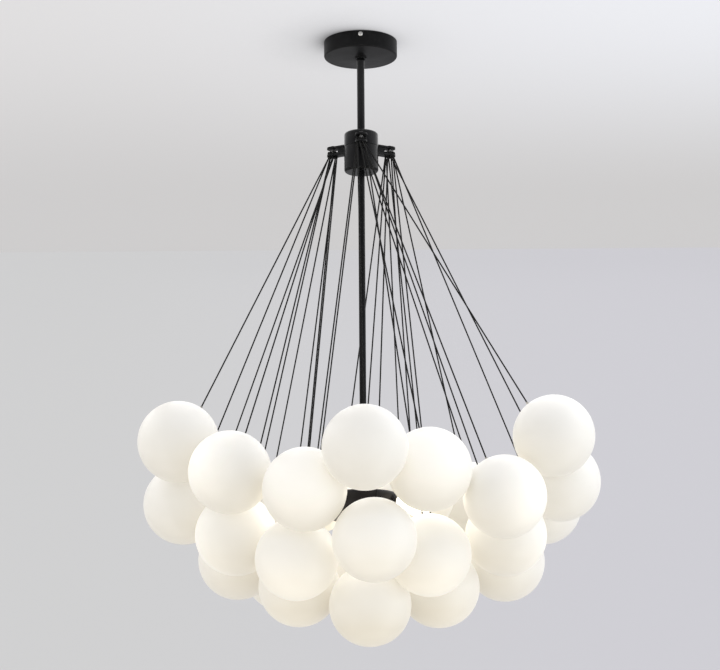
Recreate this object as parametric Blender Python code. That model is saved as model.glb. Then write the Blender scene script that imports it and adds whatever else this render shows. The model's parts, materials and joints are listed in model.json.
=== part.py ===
"""A ceiling chandelier: frosted glass globes that hang in one cluster on cords, round a lamp body on a rod.

Metres, +Z up. The origin is the centre of the ceiling bracket's flat top face, which lies on the ceiling. The rods
run down the Z axis. The front arm points along -Y. Run it in Blender, or from its text editor.
"""

from math import asin, cos, pi, radians, sin, sqrt

import bmesh
import bpy
import numpy as np
from mathutils import Matrix, Vector

# Fits
SEAT_GAP = 0.0003
OVERRUN = 0.001
SCREW_PLAY = 0.0004
CORD_PLAY = 0.0005
SLIDE_PLAY = 0.0006

# Canopy, the cap on the ceiling
CANOPY_DIAMETER = 0.112
CANOPY_HEIGHT = 0.025
CANOPY_WALL = 0.0015
CANOPY_ROUNDING = 0.0025
LIP_WIDTH = 0.0028
LIP_HEIGHT = 0.0025
CANOPY_SCREW_DIAMETER = 0.0034
CANOPY_SCREW_DROP = 0.0062
CANOPY_SCREW_REACH = 0.003
SCREW_HEAD_DIAMETER = 0.0072
SCREW_HEAD_HEIGHT = 0.0022
SCREW_HEAD_ROUNDING = 0.0008

# Ceiling bracket
BRACKET_THICKNESS = 0.0025
BRACKET_WIDTH = 0.020
TAB_HEIGHT = 0.0125
TAB_PLAY = 0.0006
CEILING_HOLE_DIAMETER = 0.005
CEILING_HOLE_SPACING = 0.076
BOSS_DIAMETER = 0.020
BOSS_HEIGHT = 0.0068
BOSS_ROOF = 0.004
TERMINAL_PAD_HEIGHT = 0.0008
TERMINAL_PAD_LENGTH = 0.015

# Upper rod and its lock nut
UPPER_ROD_DIAMETER = 0.0115
UPPER_ROD_BORE = 0.0074
UPPER_ROD_SHOWN = 0.121
ROD_NUT_WIDTH = 0.018
ROD_NUT_HEIGHT = 0.004
CABLE_SLOT_HEIGHT = 0.0072
CABLE_SLOT_DROP = 0.0008

# Terminal block and supply cable
TERMINAL_LENGTH = 0.018
TERMINAL_WIDTH = 0.014
TERMINAL_HEIGHT = 0.009
TERMINAL_OFFSET = 0.023
CABLE_DIAMETER = 0.003
CABLE_SAG = 0.0032
CABLE_END_DROP = 0.012

# Hub
HUB_DIAMETER = 0.052
HUB_HEIGHT = 0.062
HUB_WALL = 0.0025
HUB_ROUNDING = 0.004
HUB_BOSS_DIAMETER = 0.019
UPPER_PLATE_DROP = 0.0155
PLATE_THICKNESS = 0.003
PLATE_SPACE = 0.0084

# Arms
ARM_BEARINGS = {"right": 30, "left": 150, "front": 270}
ARM_WIDTH = 0.014
ARM_REACH = 0.050
PAD_DIAMETER = 0.018
SPIDER_CORE_DIAMETER = 0.040
ARM_WEB_WIDTH = 0.010
ARM_WEB_START = 0.013
ARM_WEB_REACH = 0.0395
PIN_DIAMETER = 0.005
PIN_HEAD_DIAMETER = 0.0092
PIN_HEAD_HEIGHT = 0.0024
PIN_FOOT_DIAMETER = 0.008
PIN_FOOT_HEIGHT = 0.0024
CORD_CIRCLE_DIAMETER = 0.013

# Cords
CORD_DIAMETER = 0.0018
CORD_RING_DIAMETER = 0.003
FERRULE_DIAMETER = 0.0052
FERRULE_HEIGHT = 0.004
STOP_DIAMETER = 0.0048
STOP_HEIGHT = 0.003

# Central rod, lamp body and bulbs
CENTRAL_ROD_DIAMETER = 0.010
CENTRAL_ROD_BORE = 0.0064
CENTRAL_ROD_SHOWN = 0.493
CENTRAL_ROD_RISE = 0.0015
LAMP_DIAMETER = 0.106
LAMP_HEIGHT = 0.038
LAMP_WALL = 0.0025
LAMP_ROUNDING = 0.007
LAMP_BOSS_DIAMETER = 0.018
LAMP_BOSS_HEIGHT = 0.009
BULB_BEARINGS = (90, 210, 330)
HOLDER_DIAMETER = 0.024
HOLDER_PROUD = 0.007
HOLDER_BACK = 0.003
BULB_CAP_DIAMETER = 0.014
BULB_CAP_LENGTH = 0.025
BULB_DIAMETER = 0.045
BULB_REACH = 0.092
BULB_NECK_DIAMETER = 0.024

# Globes
GLOBE_DIAMETER = 0.120
GLOBE_WALL = 0.0025
CLUSTER_REACH_SHARE = 2.375
CLUSTER_LEVEL_DROP = 0.007
LEAN_SHARE = 1.2
GLOBE_SPACE = 0.001
CORD_SPACE = 0.0016
CORD_TO_GLASS = 0.0016
LAMP_SPACE = 0.003
LAMP_ROOM = 0.017
LAMP_SOFTNESS = 0.018
BULB_SPACE = 0.0025

# Each globe's arm, bearing in degrees, share of the cluster's reach, and rise over its level as a share of a globe
PLACE_SHARES = (
    ("left", 188, 0.96, 0.65),
    ("left", 212, 0.78, 0.16),
    ("left", 242, 0.68, -0.20),
    ("front", 270, 0.87, 0.25),
    ("left", 168, 0.95, 0.00),
    ("left", 187, 0.66, -0.47),
    ("left", 152, 0.76, -0.61),
    ("front", 162, 0.35, -1.05),
    ("left", 233, 0.40, -0.84),
    ("front", 299, 0.69, 0.09),
    ("front", 328, 0.82, -0.17),
    ("front", 348, 1.00, 0.63),
    ("right", 10, 1.04, 0.28),
    ("right", 31, 1.13, 0.12),
    ("front", 356, 0.73, -0.48),
    ("front", 29, 0.77, -0.71),
    ("right", 21, 0.43, -1.04),
    ("right", 274, 0.58, -0.62),
    ("lamp", 292, 0.08, -1.31),
    ("front", 318, 0.41, -0.80),
    ("right", 53, 0.98, 0.26),
    ("right", 77, 0.98, -0.08),
    ("right", 98, 0.94, 0.46),
    ("left", 122, 1.03, 0.20),
    ("left", 146, 0.98, 0.38),
    ("right", 61, 0.76, -0.76),
    ("right", 95, 0.55, -0.73),
    ("left", 122, 0.83, -0.68),
    ("right", 51, 0.44, 0.18),
    ("front", 124, 0.47, 0.20),
)
# The globes, counted from 1, that nothing keeps from swinging outward, and that have a cord of their own
SWINGING = (1, 4, 12, 14, 22, 25)

# How fine the round pieces are
FINE_SIDES = 24
SMALL_SIDES = 12
CORD_SIDES = 6
ROUNDING_STEPS = 2
GLOBE_SIDES = 12
GLOBE_RINGS = 7
INNER_RINGS = 4
NEST_PASSES = 500
NEST_EASE = 0.5
DEALS = 3

# Heights that follow
CANOPY_BOTTOM = -CANOPY_HEIGHT
HUB_TOP = CANOPY_BOTTOM - UPPER_ROD_SHOWN
HUB_BOTTOM = HUB_TOP - HUB_HEIGHT
UPPER_PLATE_TOP = HUB_TOP - UPPER_PLATE_DROP
UPPER_PLATE_BOTTOM = UPPER_PLATE_TOP - PLATE_THICKNESS
LOWER_PLATE_TOP = UPPER_PLATE_BOTTOM - PLATE_SPACE
LOWER_PLATE_BOTTOM = LOWER_PLATE_TOP - PLATE_THICKNESS
HUB_SEAM = (UPPER_PLATE_BOTTOM + LOWER_PLATE_TOP) / 2
HANG_LEVEL = LOWER_PLATE_BOTTOM - SEAT_GAP
PIVOT_LEVEL = HANG_LEVEL - SEAT_GAP - CORD_DIAMETER / 2
LAMP_TOP = HUB_BOTTOM - CENTRAL_ROD_SHOWN
LAMP_MIDDLE = LAMP_TOP - LAMP_HEIGHT / 2
LAMP_BOTTOM = LAMP_TOP - LAMP_HEIGHT
BOSS_BOTTOM = -BRACKET_THICKNESS - BOSS_HEIGHT
NUT_TOP = BOSS_BOTTOM - SEAT_GAP
NUT_BOTTOM = NUT_TOP - ROD_NUT_HEIGHT
TERMINAL_BOTTOM = -BRACKET_THICKNESS - TERMINAL_PAD_HEIGHT - SEAT_GAP - TERMINAL_HEIGHT
GLOBE_RADIUS = GLOBE_DIAMETER / 2
CORD_HOLE_RADIUS = CORD_DIAMETER / 2 + CORD_PLAY
CANOPY_RADIUS = CANOPY_DIAMETER / 2
CANOPY_INSIDE = CANOPY_RADIUS - CANOPY_WALL

for obj in list(bpy.data.objects):
    bpy.data.objects.remove(obj)


# Materials
def material(name, color, roughness, metallic=0.0):
    made = bpy.data.materials.new(name)
    made.use_nodes = True
    shader = made.node_tree.nodes["Principled BSDF"]
    shader.inputs["Base Color"].default_value = (*color, 1.0)
    shader.inputs["Roughness"].default_value = roughness
    shader.inputs["Metallic"].default_value = metallic
    return made


BLACK_METAL = material("black_painted_metal", (0.02, 0.02, 0.022), 0.32)
BRIGHT_STEEL = material("bright_steel", (0.62, 0.61, 0.59), 0.22, 1.0)
ZINC_STEEL = material("zinc_steel", (0.5, 0.51, 0.52), 0.4, 1.0)
BLACK_CORD = material("black_cord", (0.025, 0.024, 0.023), 0.85)
FROSTED_GLASS = material("frosted_glass", (0.93, 0.92, 0.88), 0.35)
BULB_GLASS = material("bulb_glass", (1.0, 0.96, 0.86), 0.2)
WHITE_PLASTIC = material("white_plastic", (0.85, 0.85, 0.82), 0.5)
CABLE_SHEATH = material("cable_sheath", (0.8, 0.8, 0.78), 0.6)


# Building blocks
def finished(name, mesh, look):
    """A scene object of this bmesh, its normals facing out."""
    bmesh.ops.recalc_face_normals(mesh, faces=mesh.faces)
    data = bpy.data.meshes.new(name)
    mesh.to_mesh(data)
    mesh.free()
    data.shade_smooth()
    data.set_sharp_from_angle(angle=radians(35))
    if look is not None:
        data.materials.append(look)
    made = bpy.data.objects.new(name, data)
    bpy.context.scene.collection.objects.link(made)
    return made


def turned_mesh(outline, sides):
    """The closed outline of radii and heights, turned about Z."""
    mesh = bmesh.new()
    rings = []
    for radius, height in outline:
        count = sides if radius > 0 else 1
        turns = [2 * pi * k / sides for k in range(count)]
        rings.append([mesh.verts.new((radius * cos(t), radius * sin(t), height)) for t in turns])
    for first, second in zip(rings, rings[1:] + rings[:1]):
        if len(first) == 1 and len(second) == 1:
            continue
        for k in range(sides):
            after = (k + 1) % sides
            corners = [first[k % len(first)], first[after % len(first)]]
            corners += [second[after % len(second)], second[k % len(second)]]
            mesh.faces.new(list(dict.fromkeys(corners)))
    return mesh


def turned(name, outline, look, sides=FINE_SIDES):
    return finished(name, turned_mesh(outline, sides), look)


def rounded(radius, height, size, bend_from, bend_to):
    """Points of a rounded edge: its centre, its size and the two angles in degrees that it runs between."""
    angles = np.radians(np.linspace(bend_from, bend_to, ROUNDING_STEPS + 1))
    return [(radius + size * cos(a), height + size * sin(a)) for a in angles]


def extruded(name, outline, bottom, height, look):
    """The outline of X, Y points, from this bottom up by this height."""
    mesh = bmesh.new()
    face = mesh.faces.new([mesh.verts.new((x, y, bottom)) for x, y in outline])
    grown = bmesh.ops.extrude_face_region(mesh, geom=[face])
    moved = [item for item in grown["geom"] if isinstance(item, bmesh.types.BMVert)]
    bmesh.ops.translate(mesh, verts=moved, vec=(0, 0, height))
    return finished(name, mesh, look)


def block(name, low, high, look):
    """A box between two corners."""
    outline = [(low[0], low[1]), (high[0], low[1]), (high[0], high[1]), (low[0], high[1])]
    return extruded(name, outline, low[2], high[2] - low[2], look)


def cylinder(name, radius, start, end, look=None, sides=FINE_SIDES):
    """A solid round bar from one point to another."""
    start = Vector(start)
    along = Vector(end) - start
    made = turned(name, [(0, 0), (radius, 0), (radius, along.length), (0, along.length)], look, sides)
    made.rotation_mode = "QUATERNION"
    made.rotation_quaternion = along.to_track_quat("Z", "Y")
    made.location = start
    return made


def tool(made):
    """Marks a shape as one that only cuts or joins."""
    made.hide_render = True
    made.display_type = "WIRE"
    return made


def combined(target, operation, others):
    """Cuts the other shapes from the target, or joins them to it."""
    group = bpy.data.collections.new(f"{target.name}_{operation.lower()}")
    bpy.context.scene.collection.children.link(group)
    for other in others:
        bpy.context.scene.collection.objects.unlink(tool(other))
        group.objects.link(other)
    modifier = target.modifiers.new(operation.lower(), "BOOLEAN")
    modifier.operation = operation
    modifier.operand_type = "COLLECTION"
    modifier.collection = group
    return target


def cut(target, *others):
    return combined(target, "DIFFERENCE", others)


def joined(target, *others):
    return combined(target, "UNION", others)


def swept_mesh(points, radii, sides=CORD_SIDES):
    """A round bar through these points, with a radius at each; its rings keep one twist all the way."""
    points = [Vector(p) for p in points]
    mesh = bmesh.new()
    rings = []
    for k, (point, radius) in enumerate(zip(points, radii)):
        before = next((p for p in reversed(points[:k]) if (p - point).length > 0), None)
        after = next((p for p in points[k + 1 :] if (p - point).length > 0), None)
        ahead = (after - point).normalized() if after else (point - before).normalized()
        behind = (point - before).normalized() if before else ahead
        along = (ahead + behind).normalized()
        side = along.cross(Vector((0, 1, 0))).normalized()
        other = along.cross(side)
        turns = [2 * pi * n / sides for n in range(sides)]
        rings.append([mesh.verts.new(point + radius * (side * cos(t) + other * sin(t))) for t in turns])
    for first, second in zip(rings, rings[1:]):
        for n in range(sides):
            after = (n + 1) % sides
            mesh.faces.new((first[n], first[after], second[after], second[n]))
    mesh.faces.new(rings[0])
    mesh.faces.new(rings[-1])
    return mesh


def around(bearing, radius, height):
    return Vector((radius * cos(radians(bearing)), radius * sin(radians(bearing)), height))


# Where the globes and their cords are
def first_places():
    level = LAMP_TOP - CLUSTER_LEVEL_DROP
    reach = GLOBE_DIAMETER * CLUSTER_REACH_SHARE
    rows = [around(bearing, reach * out, level + GLOBE_DIAMETER * rise) for _, bearing, out, rise in PLACE_SHARES]
    return np.array(rows)


def ring_holes(places):
    """Deals each arm's globes to equally spaced holes round its pin, in the order of their bearings from the pin."""
    holes = np.tile([0.0, 0.0, LAMP_BOTTOM - SEAT_GAP], (len(places), 1))
    for arm, bearing in ARM_BEARINGS.items():
        pin = np.array(around(bearing, ARM_REACH, HANG_LEVEL))
        mine = np.array([k for k, row in enumerate(PLACE_SHARES) if row[0] == arm])
        bearings = np.arctan2(places[mine, 1] - pin[1], places[mine, 0] - pin[0])
        steps = 2 * pi * np.arange(len(mine)) / len(mine)
        order = np.argsort(bearings)
        turn = np.angle(np.mean(np.exp(1j * (bearings[order] - steps))))
        offsets = np.stack([np.cos(turn + steps), np.sin(turn + steps), 0 * steps], axis=1)
        holes[mine[order]] = pin + offsets * CORD_CIRCLE_DIAMETER / 2
    return holes


def poles(places, holes):
    """The unit direction from each globe's centre to its cord's entry, leaning a little more than the cord does."""
    lines = holes - places
    flat = np.linalg.norm(lines[:, :2], axis=1)
    lean = LEAN_SHARE * np.arctan2(flat, lines[:, 2])
    ways = lines[:, :2] / flat[:, None]
    return np.concatenate([ways * np.sin(lean)[:, None], np.cos(lean)[:, None]], axis=1)


def entries(places, holes):
    """Where each cord meets the top of its ferrule."""
    return places + poles(places, holes) * (GLOBE_RADIUS + SEAT_GAP + FERRULE_HEIGHT)


def pushed_apart(places):
    lines = places[None] - places[:, None]
    far = np.linalg.norm(lines, axis=2) + np.eye(len(places)) * GLOBE_DIAMETER * 2
    short = np.maximum(GLOBE_DIAMETER + GLOBE_SPACE - far, 0)
    return -(lines / far[:, :, None] * short[:, :, None] / 2).sum(axis=1)


def pushed_off_cords(places, holes, ends):
    """Moves a globe off another globe's cord, and that cord's globe the other way by less."""
    runs = ends - holes
    lines = places[None] - holes[:, None]
    share = np.clip((lines * runs[:, None]).sum(axis=2) / (runs * runs).sum(axis=1)[:, None], 0, 1)
    away = lines - share[:, :, None] * runs[:, None]
    far = np.linalg.norm(away, axis=2)
    short = np.maximum(GLOBE_RADIUS + CORD_DIAMETER / 2 + CORD_TO_GLASS - far, 0)
    np.fill_diagonal(short, 0)
    push = away / far[:, :, None] * short[:, :, None]
    return 0.6 * push.sum(axis=0) - 0.4 * (push * share[:, :, None]).sum(axis=1)


def cords_pushed_apart(holes, ends):
    """Moves the globes of two cords that cross too closely."""
    runs = ends - holes
    starts = holes[:, None] - holes[None]
    squares = (runs * runs).sum(axis=1)
    both = runs @ runs.T
    mine = (runs[:, None] * starts).sum(axis=2)
    other = (runs[None] * starts).sum(axis=2)
    spread = squares[:, None] * squares[None] - both * both + np.diag(squares**2)
    share = np.clip((both * other - mine * squares[None]) / spread, 0, 1)
    other_share = np.clip((both * share + other) / squares[None], 0, 1)
    share = np.clip((both * other_share - mine) / squares[:, None], 0, 1)
    away = starts + share[:, :, None] * runs[:, None] - other_share[:, :, None] * runs[None]
    far = np.linalg.norm(away, axis=2) + np.eye(len(holes)) * GLOBE_DIAMETER
    short = np.maximum(CORD_DIAMETER + CORD_SPACE - far, 0)
    return (away / far[:, :, None] * (short * share)[:, :, None]).sum(axis=1) * 2


def pushed_off_lamp(places):
    lines = places - np.array([0, 0, LAMP_MIDDLE])
    flat = np.hypot(lines[:, 0], lines[:, 1])
    beside = np.maximum(flat - (LAMP_DIAMETER / 2 + LAMP_SPACE - LAMP_SOFTNESS), 0)
    above = np.maximum(np.abs(lines[:, 2]) - (LAMP_HEIGHT / 2 + LAMP_ROOM - LAMP_SOFTNESS), 0)
    short = np.maximum(GLOBE_RADIUS + LAMP_SOFTNESS - np.hypot(beside, above), 0)
    return lines / np.linalg.norm(lines, axis=1)[:, None] * short[:, None]


def pushed_off_bulbs(places, holes, ends):
    """Moves the globes off the bulbs, and those whose cords pass a bulb too closely."""
    move = np.zeros_like(places)
    runs = ends - holes
    for bearing in BULB_BEARINGS:
        middle = np.array(around(bearing, BULB_REACH, LAMP_MIDDLE))
        lines = places - middle
        far = np.linalg.norm(lines, axis=1)
        short = np.maximum(GLOBE_RADIUS + BULB_DIAMETER / 2 + BULB_SPACE - far, 0)
        move += lines / far[:, None] * short[:, None]
        share = np.clip(((middle - holes) * runs).sum(axis=1) / (runs * runs).sum(axis=1), 0, 1)
        away = holes + share[:, None] * runs - middle
        far = np.linalg.norm(away, axis=1)
        short = np.maximum((BULB_DIAMETER + CORD_DIAMETER) / 2 + BULB_SPACE - far, 0)
        move += away / far[:, None] * short[:, None]
    return move


def settled(places, holes):
    """Lets the globes push each other, the lamp, the bulbs and the cords away until all are clear."""
    for _ in range(NEST_PASSES):
        ends = entries(places, holes)
        move = pushed_apart(places) + pushed_off_cords(places, holes, ends) + cords_pushed_apart(holes, ends)
        move += pushed_off_lamp(places) + pushed_off_bulbs(places, holes, ends)
        places = places + NEST_EASE * move
    return places


def nest():
    """The globes' centres and the holes that their cords leave from."""
    places = first_places()
    for _ in range(DEALS):
        holes = ring_holes(places)
        places = settled(first_places(), holes)
    return places, holes


# Ceiling pieces
def tab_reach():
    """How far out the bracket's tabs stand, so that their corners clear the canopy's wall."""
    return sqrt((CANOPY_INSIDE * cos(pi / FINE_SIDES) - TAB_PLAY) ** 2 - (BRACKET_WIDTH / 2) ** 2)


def ceiling_bracket():
    """A strap with a tab bent down at each end, a threaded boss and a raised pad under the terminal block."""
    half = BRACKET_WIDTH / 2
    outer = tab_reach()
    inner = outer - BRACKET_THICKNESS
    tab_bottom = -TAB_HEIGHT
    pad_level = -BRACKET_THICKNESS - TERMINAL_PAD_HEIGHT
    pad_from = TERMINAL_OFFSET - TERMINAL_PAD_LENGTH / 2
    pad_to = pad_from + TERMINAL_PAD_LENGTH
    front = [(-outer, 0), (-outer, tab_bottom), (-inner, tab_bottom), (-inner, -BRACKET_THICKNESS)]
    pad = [(pad_from, -BRACKET_THICKNESS), (pad_from, pad_level), (pad_to, pad_level), (pad_to, -BRACKET_THICKNESS)]
    back = [(-y, z) for y, z in reversed(front)]
    made = extruded("ceiling_bracket", front + pad + back, -half, BRACKET_WIDTH, ZINC_STEEL)
    made.data.transform(Matrix(((0, 0, 1, 0), (1, 0, 0, 0), (0, 1, 0, 0), (0, 0, 0, 1))))
    boss = cylinder("boss", BOSS_DIAMETER / 2, (0, 0, BOSS_BOTTOM), (0, 0, -BRACKET_THICKNESS / 2))
    bore = cylinder("bore", UPPER_ROD_DIAMETER / 2 + SEAT_GAP, (0, 0, BOSS_BOTTOM - OVERRUN), (0, 0, -BOSS_ROOF))
    cuts = [bore]
    notch = CANOPY_SCREW_DIAMETER / 2 + SCREW_PLAY
    for way in (-1, 1):
        near, far = sorted((way * (inner - OVERRUN), way * (outer + OVERRUN)))
        low = (-notch, near, tab_bottom - OVERRUN)
        cuts.append(block("notch", low, (notch, far, -CANOPY_SCREW_DROP + notch), None))
        hole = way * CEILING_HOLE_SPACING / 2
        ends = ((0, hole, -BRACKET_THICKNESS - OVERRUN), (0, hole, OVERRUN))
        cuts.append(cylinder("ceiling_hole", CEILING_HOLE_DIAMETER / 2, *ends, sides=SMALL_SIDES))
    joined(made, boss)
    return cut(made, *cuts)


def canopy_cover():
    hole = UPPER_ROD_DIAMETER / 2 + SLIDE_PLAY
    lip = hole + LIP_WIDTH
    bottom = CANOPY_BOTTOM
    outline = [(CANOPY_RADIUS, 0)]
    outline += rounded(CANOPY_RADIUS - CANOPY_ROUNDING, bottom + CANOPY_ROUNDING, CANOPY_ROUNDING, 0, -90)
    outline += [(lip, bottom), (lip, bottom - LIP_HEIGHT), (hole, bottom - LIP_HEIGHT)]
    outline += [(hole, bottom + CANOPY_WALL), (CANOPY_INSIDE, bottom + CANOPY_WALL), (CANOPY_INSIDE, 0)]
    made = turned("canopy_cover", outline, BLACK_METAL)
    reach = CANOPY_RADIUS + OVERRUN
    ends = ((0, -reach, -CANOPY_SCREW_DROP), (0, reach, -CANOPY_SCREW_DROP))
    radius = CANOPY_SCREW_DIAMETER / 2 + SCREW_PLAY
    return cut(made, cylinder("screw_holes", radius, *ends, sides=SMALL_SIDES))


def canopy_screw(name, way):
    """A screw through the canopy's wall into the bracket's tab, its head outside."""
    tip = tab_reach() - BRACKET_THICKNESS - CANOPY_SCREW_REACH
    seat = CANOPY_RADIUS + SEAT_GAP
    shank = CANOPY_SCREW_DIAMETER / 2
    head = SCREW_HEAD_DIAMETER / 2
    outline = [(0, tip), (shank, tip), (shank, seat), (head, seat)]
    outline += rounded(head - SCREW_HEAD_ROUNDING, seat + SCREW_HEAD_HEIGHT - SCREW_HEAD_ROUNDING,
                       SCREW_HEAD_ROUNDING, 0, 90)
    outline += [(0, seat + SCREW_HEAD_HEIGHT)]
    made = turned(name, outline, BRIGHT_STEEL, SMALL_SIDES)
    made.rotation_euler = (-way * pi / 2, 0, 0)
    made.location = (0, 0, -CANOPY_SCREW_DROP)
    return made


def rod_nut():
    bore = UPPER_ROD_DIAMETER / 2 + SEAT_GAP
    made = cylinder("rod_nut", ROD_NUT_WIDTH / sqrt(3), (0, 0, NUT_BOTTOM), (0, 0, NUT_TOP), ZINC_STEEL, sides=6)
    return cut(made, cylinder("nut_bore", bore, (0, 0, NUT_BOTTOM - OVERRUN), (0, 0, NUT_TOP + OVERRUN)))


def upper_rod():
    """A tube from the bracket's boss into the hub, with a slot near its top for the cable."""
    outer = UPPER_ROD_DIAMETER / 2
    inner = UPPER_ROD_BORE / 2
    top = -BOSS_ROOF - SEAT_GAP
    bottom = UPPER_PLATE_TOP + SEAT_GAP
    made = turned("upper_rod", [(outer, top), (outer, bottom), (inner, bottom), (inner, top)], BLACK_METAL)
    slot = CABLE_DIAMETER / 2 + SCREW_PLAY
    slot_top = NUT_BOTTOM - CABLE_SLOT_DROP
    low = (-slot, 0, slot_top - CABLE_SLOT_HEIGHT)
    return cut(made, block("cable_slot", low, (slot, outer + OVERRUN, slot_top), None))


def terminal_block():
    low = (-TERMINAL_LENGTH / 2, TERMINAL_OFFSET - TERMINAL_WIDTH / 2, TERMINAL_BOTTOM)
    high = (TERMINAL_LENGTH / 2, TERMINAL_OFFSET + TERMINAL_WIDTH / 2, TERMINAL_BOTTOM + TERMINAL_HEIGHT)
    return block("terminal_block", low, high, WHITE_PLASTIC)


# Hub and arms
def hub_shell(name, seam, end, plate, rod_diameter):
    """Half of the hub: a cup with a boss round the rod, notched from the seam to the far side of its plate."""
    up = 1 if end > seam else -1
    radius = HUB_DIAMETER / 2
    inside = radius - HUB_WALL
    bore = rod_diameter / 2 + SEAT_GAP
    boss = HUB_BOSS_DIAMETER / 2
    boss_end = plate + up * SEAT_GAP
    outline = [(radius, seam)]
    edge = end - up * HUB_ROUNDING
    outline += rounded(radius - HUB_ROUNDING, edge, HUB_ROUNDING, 0, up * 90)
    outline += [(bore, end), (bore, boss_end), (boss, boss_end), (boss, end - up * HUB_WALL)]
    outline += [(inside, end - up * HUB_WALL), (inside, seam)]
    made = turned(name, outline, BLACK_METAL)
    low, high = sorted((seam - up * OVERRUN, plate + up * SEAT_GAP))
    notches = []
    for bearing in ARM_BEARINGS.values():
        half = ARM_WIDTH / 2 + SEAT_GAP
        notch = block("notch", (inside - HUB_WALL, -half, low), (radius + OVERRUN, half, high), None)
        notch.rotation_euler = (0, 0, radians(bearing))
        notches.append(notch)
    return cut(made, *notches)


def star_outline():
    """A round core with three arms, each ending in a round pad."""
    core = SPIDER_CORE_DIAMETER / 2
    pad = PAD_DIAMETER / 2
    half = ARM_WIDTH / 2
    spread = asin(half / pad)
    points = []
    for bearing in sorted(ARM_BEARINGS.values()):
        arm = [(core * cos(asin(half / core)), -half)]
        for k in range(SMALL_SIDES + 1):
            turn = -(pi - spread) + 2 * (pi - spread) * k / SMALL_SIDES
            arm.append((ARM_REACH + pad * cos(turn), pad * sin(turn)))
        arm.append((core * cos(asin(half / core)), half))
        angle = asin(half / core)
        gap = 2 * pi / len(ARM_BEARINGS) - 2 * angle
        for k in range(1, ROUNDING_STEPS * 2):
            turn = angle + gap * k / (ROUNDING_STEPS * 2)
            arm.append((core * cos(turn), core * sin(turn)))
        way = radians(bearing)
        points += [(x * cos(way) - y * sin(way), x * sin(way) + y * cos(way)) for x, y in arm]
    return points


def arm_web(bearing):
    """A rib under one arm of the upper plate, down to just above the lower plate."""
    half = ARM_WEB_WIDTH / 2
    low = (ARM_WEB_START, -half, LOWER_PLATE_TOP + SEAT_GAP)
    made = block("arm_web", low, (ARM_WEB_REACH, half, UPPER_PLATE_BOTTOM + PLATE_THICKNESS / 2), None)
    made.rotation_euler = (0, 0, radians(bearing))
    return made


def spider(name, bottom, centre_bore, holes, webs=()):
    """A star plate that carries the pins, and on the lower one the cords."""
    made = extruded(name, star_outline(), bottom, PLATE_THICKNESS, BLACK_METAL)
    if webs:
        joined(made, *webs)
    low, high = bottom - OVERRUN, bottom + PLATE_THICKNESS + OVERRUN
    cuts = [cylinder("centre", centre_bore, (0, 0, low), (0, 0, high), sides=SMALL_SIDES)]
    for bearing in ARM_BEARINGS.values():
        ends = around(bearing, ARM_REACH, low), around(bearing, ARM_REACH, high)
        cuts.append(cylinder("pin_hole", PIN_DIAMETER / 2 + SEAT_GAP, *ends, sides=SMALL_SIDES))
    for x, y, _ in holes:
        cuts.append(cylinder("cord_hole", CORD_HOLE_RADIUS, (x, y, low), (x, y, high), sides=CORD_SIDES))
    return cut(made, *cuts)


def arm_pin(arm, bearing):
    """A riveted pin through both plates: domed head above, foot below."""
    head = PIN_HEAD_DIAMETER / 2
    shank = PIN_DIAMETER / 2
    foot = PIN_FOOT_DIAMETER / 2
    seat = UPPER_PLATE_TOP + SEAT_GAP
    sole = LOWER_PLATE_BOTTOM - SEAT_GAP
    outline = [(0, sole - PIN_FOOT_HEIGHT), (foot, sole - PIN_FOOT_HEIGHT), (foot, sole), (shank, sole)]
    outline += [(shank, seat), (head, seat), (head, seat + PIN_HEAD_HEIGHT / 2)]
    outline += [(head / 2, seat + PIN_HEAD_HEIGHT), (0, seat + PIN_HEAD_HEIGHT)]
    made = turned(f"arm_pin_{arm}", outline, BRIGHT_STEEL, SMALL_SIDES)
    made.location = around(bearing, ARM_REACH, 0)
    return made


# Lamp
def central_rod():
    outer = CENTRAL_ROD_DIAMETER / 2
    inner = CENTRAL_ROD_BORE / 2
    top = LOWER_PLATE_TOP + CENTRAL_ROD_RISE
    bottom = LAMP_TOP - LAMP_BOSS_HEIGHT
    return turned("central_rod", [(outer, top), (outer, bottom), (inner, bottom), (inner, top)], BLACK_METAL)


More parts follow.
